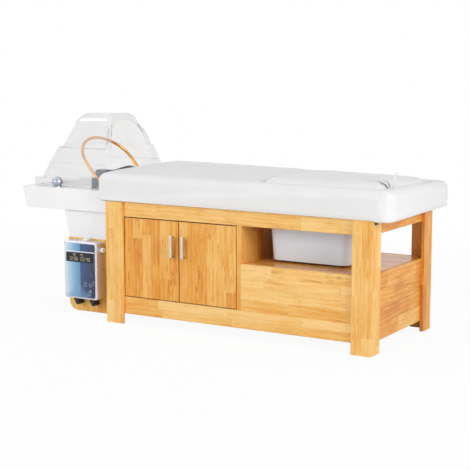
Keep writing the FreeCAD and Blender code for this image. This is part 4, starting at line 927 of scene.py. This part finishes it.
def make_neck_rest():
    """Saddle of soft silicone across the bed, with a narrow tongue inside the bowl."""
    form = bmesh.new()
    x0, x1 = neck_low[X], neck_high[X]
    tongue_end = x0 + NECK_TONGUE
    seat = neck_low[Z] + NECK_SEAT
    half = (neck_high[Y] - neck_low[Y]) / 2
    tongue_share = NECK_TONGUE_HALF / half
    shares = [-1.0, -0.985, -0.96, -0.92, -0.8, -0.65, -0.5, -tongue_share - 0.01, -tongue_share]
    shares += [-0.3, -0.15, 0.0]
    shares += [-value for value in reversed(shares[:-1])]
    rows = []
    for share in shares:
        tip = min(1.0, (1 - abs(share)) / NECK_TIP)
        shrink = NECK_TIP_ROUND * (1 - math.sqrt(max(0.0, 1 - (1 - tip) ** 2)))
        dip = NECK_DIP * math.exp(-(share / NECK_DIP_WIDTH) ** 2)
        top = neck_high[Z] - dip - shrink
        low = neck_low[Z] if abs(share) <= tongue_share + 0.001 else seat
        bowl, bed = x0 + shrink, x1 - shrink
        section = [
            (bowl, low), (tongue_end, low), (tongue_end, seat), (tongue_end + 0.004, seat),
            (x1 - 0.004 - shrink, seat), (bed, seat + 0.004), (bed, top - 0.036),
            (x1 - 0.002 - shrink, top - 0.022), (x1 - 0.010 - shrink, top - 0.013),
            (x0 + 0.040, top - 0.004), (x0 + 0.020, top - 0.001), (x0 + 0.008 + shrink, top - 0.004),
            (x0 + 0.002 + shrink, top - 0.014), (bowl, seat + 0.010),
        ]
        rows.append([form.verts.new((x, share * half, z)) for x, z in section])
    return closed(form, "neck_cushion", rows)


# Clear hood

skirt_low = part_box("hood_skirt")[0]
dome_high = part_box("hood_dome")[1]
# Levels of the hood: height, half width, head end and bed end
HOOD_FOOT = (skirt_low[Z], 0.260, -1.0235, -0.5515)
HOOD_BEAD = (skirt_low[Z] + 0.079, 0.245, -0.9925, -0.5695)
HOOD_SEAM = (skirt_low[Z] + 0.156, 0.214, -0.9525, -0.5885)
SIDE_STEPS = 6
# Skirt: plan corner, wall, rings of the lower tier, rings and insets of the upper one, depth of the ledge
SKIRT_CORNER = 0.112
SKIRT_WALL = 0.0042
LOWER_TIER = (0.0, 0.5, 0.97, 1.0)
BEAD_STEP = 0.0025
UPPER_TIER = ((0.0, BEAD_STEP), (0.03, BEAD_STEP), (0.5, BEAD_STEP), (0.97, BEAD_STEP), (0.99, 0.0030),
              (1.0, 0.0045))
SKIRT_LEDGE = 0.027
# Dome: plan corner, inset from the skirt, gap over it, wall, roll into the top, lean of walls and face
DOME_CORNER = 0.1437
DOME_INSET = 0.008
DOME_GAP = 0.0002
DOME_WALL = 0.004
DOME_ROUND = 0.100
DOME_BANDS = 12
DOME_PITCH = math.radians(30.0)
DOME_SLANT = math.radians(14.6)
FACE_ROUND = 0.020
MOUTH_HALF = 0.155
MOUTH_RISE = 0.146
MOUTH_POWER = 0.86


def hood_outline(level, inset, corner, bed=None, steps=10):
    """Plan of the hood at a height, from the bed end along one side, round the head and back."""
    z, half, head, near = level
    half -= inset
    head += inset
    near = near if bed is None else bed
    corner = max(corner - inset, LEAST_CORNER)
    side = [(near + (head + corner - near) * i / SIDE_STEPS, -half) for i in range(SIDE_STEPS)]
    for i in range(steps + 1):
        turn = math.radians(270 - 90 * i / steps)
        side.append((head + corner + corner * math.cos(turn), -half + corner + corner * math.sin(turn)))
    return [(x, y, z) for x, y in side] + [(x, -y, z) for x, y in reversed(side)]


def between(low, high, share):
    return tuple(a + (b - a) * share for a, b in zip(low, high))


def shell(form, name, thick, angle=38.0):
    """Closed sheet of even thickness, grown inwards from the outside."""
    item = finished(form, name)
    wall = item.modifiers.new("wall", "SOLIDIFY")
    wall.thickness = thick
    wall.offset = -1.0
    wall.use_even_offset = True
    applied(item)
    smooth(item)
    item.data.set_sharp_from_angle(angle=math.radians(angle))
    return item


def make_skirt():
    """Two leaning tiers with a stepped bead between them and a ledge under the dome."""
    form = bmesh.new()
    rings = [hood_outline(between(HOOD_FOOT, HOOD_BEAD, share), 0.0, SKIRT_CORNER) for share in LOWER_TIER]
    for share, inset in UPPER_TIER:
        rings.append(hood_outline(between(HOOD_BEAD, HOOD_SEAM, share), inset, SKIRT_CORNER))
    rings.append(hood_outline(HOOD_SEAM, SKIRT_LEDGE, SKIRT_CORNER))
    strips(form, rings)
    return shell(form, "hood_skirt_sheet", SKIRT_WALL)


def face_x(z):
    """Place of the dome's slanted bed face at a height."""
    return HOOD_SEAM[3] - (z - HOOD_SEAM[0]) * math.tan(DOME_SLANT)


def mouth_point(turn):
    """Point on the edge of the arched mouth, from one foot over the top to the other."""
    y = -MOUTH_HALF * math.cos(turn)
    rise = MOUTH_RISE * math.sin(turn) ** MOUTH_POWER
    z = HOOD_SEAM[0] + rise * math.cos(DOME_SLANT)
    return face_x(z), y, z


def make_dome():
    """Leaning walls that roll into the top, cut off by a slanted face with an arched mouth."""
    form = bmesh.new()
    rise = dome_high[Z] - HOOD_SEAM[0]
    straight = rise - DOME_ROUND * (1 - math.sin(DOME_PITCH))
    lean = math.tan(DOME_PITCH)
    marks = [(DOME_INSET + straight * share * lean, straight * share) for share in (0.0, 0.3, 0.65)]
    for i in range(DOME_BANDS + 1):
        turn = DOME_PITCH + (QUARTER_TURN - DOME_PITCH) * i / DOME_BANDS
        inset = DOME_INSET + straight * lean + DOME_ROUND * (math.cos(DOME_PITCH) - math.cos(turn))
        marks.append((inset, rise - DOME_ROUND * (1 - math.sin(turn))))
    rings = []
    for inset, up in marks:
        z = HOOD_SEAM[0] + up + DOME_GAP
        rings.append(hood_outline((z,) + HOOD_SEAM[1:], inset, DOME_CORNER, face_x(z)))
    rows = strips(form, rings)
    top = rows[-1]
    count = len(top)
    for i in range(count // 2 - 1):
        form.faces.new((top[i], top[i + 1], top[count - 2 - i], top[count - 1 - i]))
    outer = [row[0] for row in rows] + [row[-1] for row in reversed(rows)]
    last = len(outer) - 1
    inner = [form.verts.new(mouth_point(math.pi * i / last)) for i in range(last + 1)]
    edges = []
    for i in range(last):
        form.faces.new((outer[i], outer[i + 1], inner[i + 1], inner[i]))
        edges.append(form.edges.get((outer[i], outer[i + 1])))
    bmesh.ops.bevel(form, geom=edges, offset=FACE_ROUND, segments=5, affect="EDGES", profile=0.5,
                    clamp_overlap=True)
    return shell(form, "hood_dome_sheet", DOME_WALL)


# Tap knob, display and screws

knob_low, knob_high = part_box("tap_knob")
display_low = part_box("heater_display")[0]
case_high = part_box("heater_case")[1]
# Knob: share of its height and of its radius, from the foot to the top
KNOB_PROFILE = (
    (0.0, 0.62), (0.03, 0.74), (0.12, 0.84), (0.25, 0.95), (0.40, 1.0), (0.55, 0.985), (0.70, 0.90),
    (0.82, 0.75), (0.91, 0.56), (0.97, 0.33), (0.995, 0.12),
)
KNOB_SIDES = 72
KNOB_FLUTES = 12
FLUTE_DEPTH = 0.028
# Strokes of a figure by letter, from and to in half heights, and the strokes of each figure
STROKES = {
    "a": (0, 2, 1, 2), "b": (1, 1, 1, 2), "c": (1, 0, 1, 1), "d": (0, 0, 1, 0), "e": (0, 0, 0, 1),
    "f": (0, 1, 0, 2), "g": (0, 1, 1, 1),
}
SEGMENTS = {
    "0": "abcdef", "1": "bc", "2": "abged", "3": "abgcd", "4": "fgbc", "5": "afgcd", "6": "afgedc",
    "7": "abc", "8": "abcdefg", "9": "abcdfg",
}
# Figures stand this far out of the display and reach this far into it
FIGURE_OUT = 0.0008
FIGURE_IN = 0.0006
# Width, height and stroke of a figure
SMALL_FIGURE = (0.0058, 0.0105, 0.0015)
LARGE_FIGURE = (0.0082, 0.0170, 0.0021)
# Step to the next figure in widths, step past a colon in strokes, and levels of the colon's dots
FIGURE_STEP = 1.75
COLON_STEP = 2.4
COLON_LEVELS = (0.3, 0.7)
# Readings: figures, distance from the display's left and lower edge, and size
READINGS = (
    ("38", 0.044, 0.0325, SMALL_FIGURE),
    ("42", 0.092, 0.0325, SMALL_FIGURE),
    ("12:06", 0.018, 0.0085, LARGE_FIGURE),
    ("05:40", 0.095, 0.0085, LARGE_FIGURE),
)
# Screws: distances below the top of the case and in front of its back
SCREW_DROPS = (0.061, 0.114)
SCREW_SETBACK = 0.016


def make_knob():
    """Ball-like knob with shallow flutes."""
    form = bmesh.new()
    cx = (knob_low[X] + knob_high[X]) / 2
    cy = (knob_low[Y] + knob_high[Y]) / 2
    radius = (knob_high[X] - knob_low[X]) / 2
    high = knob_high[Z] - knob_low[Z]
    rings = []
    for up, share in KNOB_PROFILE:
        ring = []
        z = knob_low[Z] + high * up
        for i in range(KNOB_SIDES):
            turn = 2 * math.pi * i / KNOB_SIDES
            wave = 0.5 + 0.5 * math.cos(KNOB_FLUTES * turn)
            reach = radius * share * (1 - FLUTE_DEPTH * wave * min(1.0, share * 1.1))
            ring.append(form.verts.new((cx + reach * math.cos(turn), cy + reach * math.sin(turn), z)))
        rings.append(ring)
    tube(form, rings)
    form.faces.new(rings[0][::-1])
    form.faces.new(rings[-1])
    item = finished(form, "tap_knob_ball")
    smooth(item)
    return item


def block(form, x0, x1, z0, z1):
    """Flat bar on the front of the display."""
    y0, y1 = display_low[Y] - FIGURE_OUT, display_low[Y] + FIGURE_IN
    for vertex in bmesh.ops.create_cube(form, size=1.0)["verts"]:
        co = vertex.co
        co.x = (x0 + x1) / 2 + co.x * (x1 - x0)
        co.y = (y0 + y1) / 2 + co.y * (y1 - y0)
        co.z = (z0 + z1) / 2 + co.z * (z1 - z0)


def digits(form, text, x, z, wide, high, stroke):
    """Seven-stroke figures standing just proud of the display."""
    grow = stroke / 2
    for mark in text:
        if mark == ":":
            for level in COLON_LEVELS:
                at = z + high * level
                block(form, x, x + stroke, at, at + stroke)
            x += stroke * COLON_STEP
            continue
        for name in SEGMENTS[mark]:
            ax, az, bx, bz = STROKES[name]
            x0, x1 = x + ax * wide, x + bx * wide
            z0, z1 = z + az * high / 2, z + bz * high / 2
            block(form, x0 - grow, x1 + grow, z0 - grow, z1 + grow)
        x += wide * FIGURE_STEP


def make_digits():
    form = bmesh.new()
    for text, right, up, size in READINGS:
        digits(form, text, display_low[X] + right, display_low[Z] + up, *size)
    return finished(form, "display_digits")


def make_screws():
    """Heads of the two screws in the heater's side, one above the other."""
    form = bmesh.new()
    for drop in SCREW_DROPS:
        made = bmesh.ops.create_cone(form, cap_ends=True, segments=20, radius1=0.0030, radius2=0.0024,
                                     depth=0.0016)
        place = Vector((case_high[X], case_high[Y] - SCREW_SETBACK, case_high[Z] - drop))
        for vertex in made["verts"]:
            x, y, z = vertex.co
            vertex.co = place + Vector((z, y, x))
    return finished(form, "heater_screws")


# Pieces made here: how, the node replaced, body, slot, material and, where padded, the fill
PIECES = (
    (make_mattress, "mattress", "bed", "white_leather", LEATHER, 0.9),
    (make_lid, "lid_pad", "lid", "white_leather", LEATHER, 0.9),
    (make_strap, "pull_strap", "lid", "white_leather", LEATHER, None),
    (make_neck_rest, "neck_rest", "neck_rest", "grey_silicone", SILICONE, 1.0),
    (make_skirt, "hood_skirt", "hood", "clear_plastic", CLEAR, None),
    (make_dome, "hood_dome", "hood", "clear_plastic", CLEAR, None),
    (make_knob, "tap_knob", "tap", "chrome_metal", SATIN, None),
    (make_digits, None, "bed", "black_display", GLOW, None),
    (make_screws, None, "bed", "black_steel", BLACK_STEEL, None),
)
for make, node, body, slot, material, fullness in PIECES:
    piece = make()
    paint(piece, material)
    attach(piece, body)
    if node is not None:
        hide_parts(node)


# Stage, light and camera

FLOOR_HALF = 14.0
FLOOR_DROP = 0.0005
PAPER = (0.86, 0.86, 0.86, 1.0)
WHITE_LIGHT = (1.0, 1.0, 1.0, 1.0)
# Strength of the surroundings where they only give light
WORLD_LIGHT = 0.40
# Area lamps: name, place, target, size and power
LAMPS = (
    ("key", (5.0, -1.8, 2.1), (0.2, 0.0, 0.5), (2.2, 2.2), 128.0),
    ("front", (-2.1, -4.8, 2.3), (-0.3, 0.0, 0.45), (2.6, 2.0), 93.0),
    ("top", (0.4, 0.4, 4.4), (0.2, 0.0, 0.5), (4.0, 2.4), 22.0),
    ("hood", (-3.5, -0.5, 4.4), (-0.75, 0.0, 1.0), (1.2, 1.8), 24.0),
)
# Camera: place, degrees down and round, and focal length on its sensor
EYE = (3.1436, -5.1471, 1.3064)
TILT = 8.211
TURN = 30.977
LENS = 92.35
SENSOR = 36.0


def seen(tree):
    """1 for what is seen straight, in a reflection or through a clear sheet, and 0 for what only lights."""
    path = tree.nodes.new("ShaderNodeLightPath")
    result = path.outputs["Is Camera Ray"]
    for kind in ("Is Glossy Ray", "Is Transmission Ray"):
        either = tree.nodes.new("ShaderNodeMath")
        either.operation = "MAXIMUM"
        tree.links.new(result, either.inputs[0])
        tree.links.new(path.outputs[kind], either.inputs[1])
        result = either.outputs[0]
    return result


def make_floor():
    """Wide sheet of paper that takes a faint shadow near the bed and is white beyond."""
    form = bmesh.new()
    far = FLOOR_HALF
    corners = ((-far, -far), (far, -far), (far, far), (-far, far))
    form.faces.new([form.verts.new((x, y, -FLOOR_DROP)) for x, y in corners])
    item = finished(form, "floor")
    g = Graph("floor_paper")
    g.set(Base_Color=PAPER, Roughness=0.9, Specular_IOR_Level=0.0)
    white = g.add("ShaderNodeEmission")
    white.inputs["Color"].default_value = WHITE_LIGHT
    reach = g.add("ShaderNodeVectorMath", operation="LENGTH")
    g.feed(reach.inputs[0], g.place())
    share = g.span(reach.outputs["Value"], 1.6, 4.0, 0.94, 1.0)
    blend = g.add("ShaderNodeMixShader")
    g.feed(blend.inputs[0], g.math("MULTIPLY", seen(g.tree), share))
    g.feed(blend.inputs[1], g.shader.outputs[0])
    g.feed(blend.inputs[2], white.outputs[0])
    end = g.tree.nodes["Material Output"]
    g.feed(end.inputs["Surface"], blend.outputs[0])
    item.data.materials.append(g.material)


def make_world():
    """White all round where it is seen, weaker where it only gives light."""
    world = bpy.data.worlds.new("studio")
    bpy.context.scene.world = world
    world.use_nodes = True
    tree = world.node_tree
    ground = tree.nodes["Background"]
    ground.inputs["Color"].default_value = WHITE_LIGHT
    level = tree.nodes.new("ShaderNodeMapRange")
    level.inputs["To Min"].default_value = WORLD_LIGHT
    level.inputs["To Max"].default_value = 1.0
    tree.links.new(seen(tree), level.inputs["Value"])
    tree.links.new(level.outputs[0], ground.inputs["Strength"])


def lamp(name, place, target, size, power):
    data = bpy.data.lights.new(name, "AREA")
    data.shape = "RECTANGLE"
    data.size, data.size_y = size
    data.energy = power
    item = bpy.data.objects.new(name, data)
    item.location = place
    way = Vector(target) - Vector(place)
    item.rotation_euler = way.to_track_quat("-Z", "Y").to_euler()
    bpy.context.scene.collection.objects.link(item)


def make_camera():
    data = bpy.data.cameras.new("camera")
    data.sensor_width = SENSOR
    data.lens = LENS
    item = bpy.data.objects.new("camera", data)
    item.location = EYE
    item.rotation_euler = (math.radians(90 - TILT), 0.0, math.radians(TURN))
    bpy.context.scene.collection.objects.link(item)
    bpy.context.scene.camera = item


make_floor()
make_world()
for settings in LAMPS:
    lamp(*settings)
make_camera()
bpy.context.scene.view_settings.view_transform = "Standard"
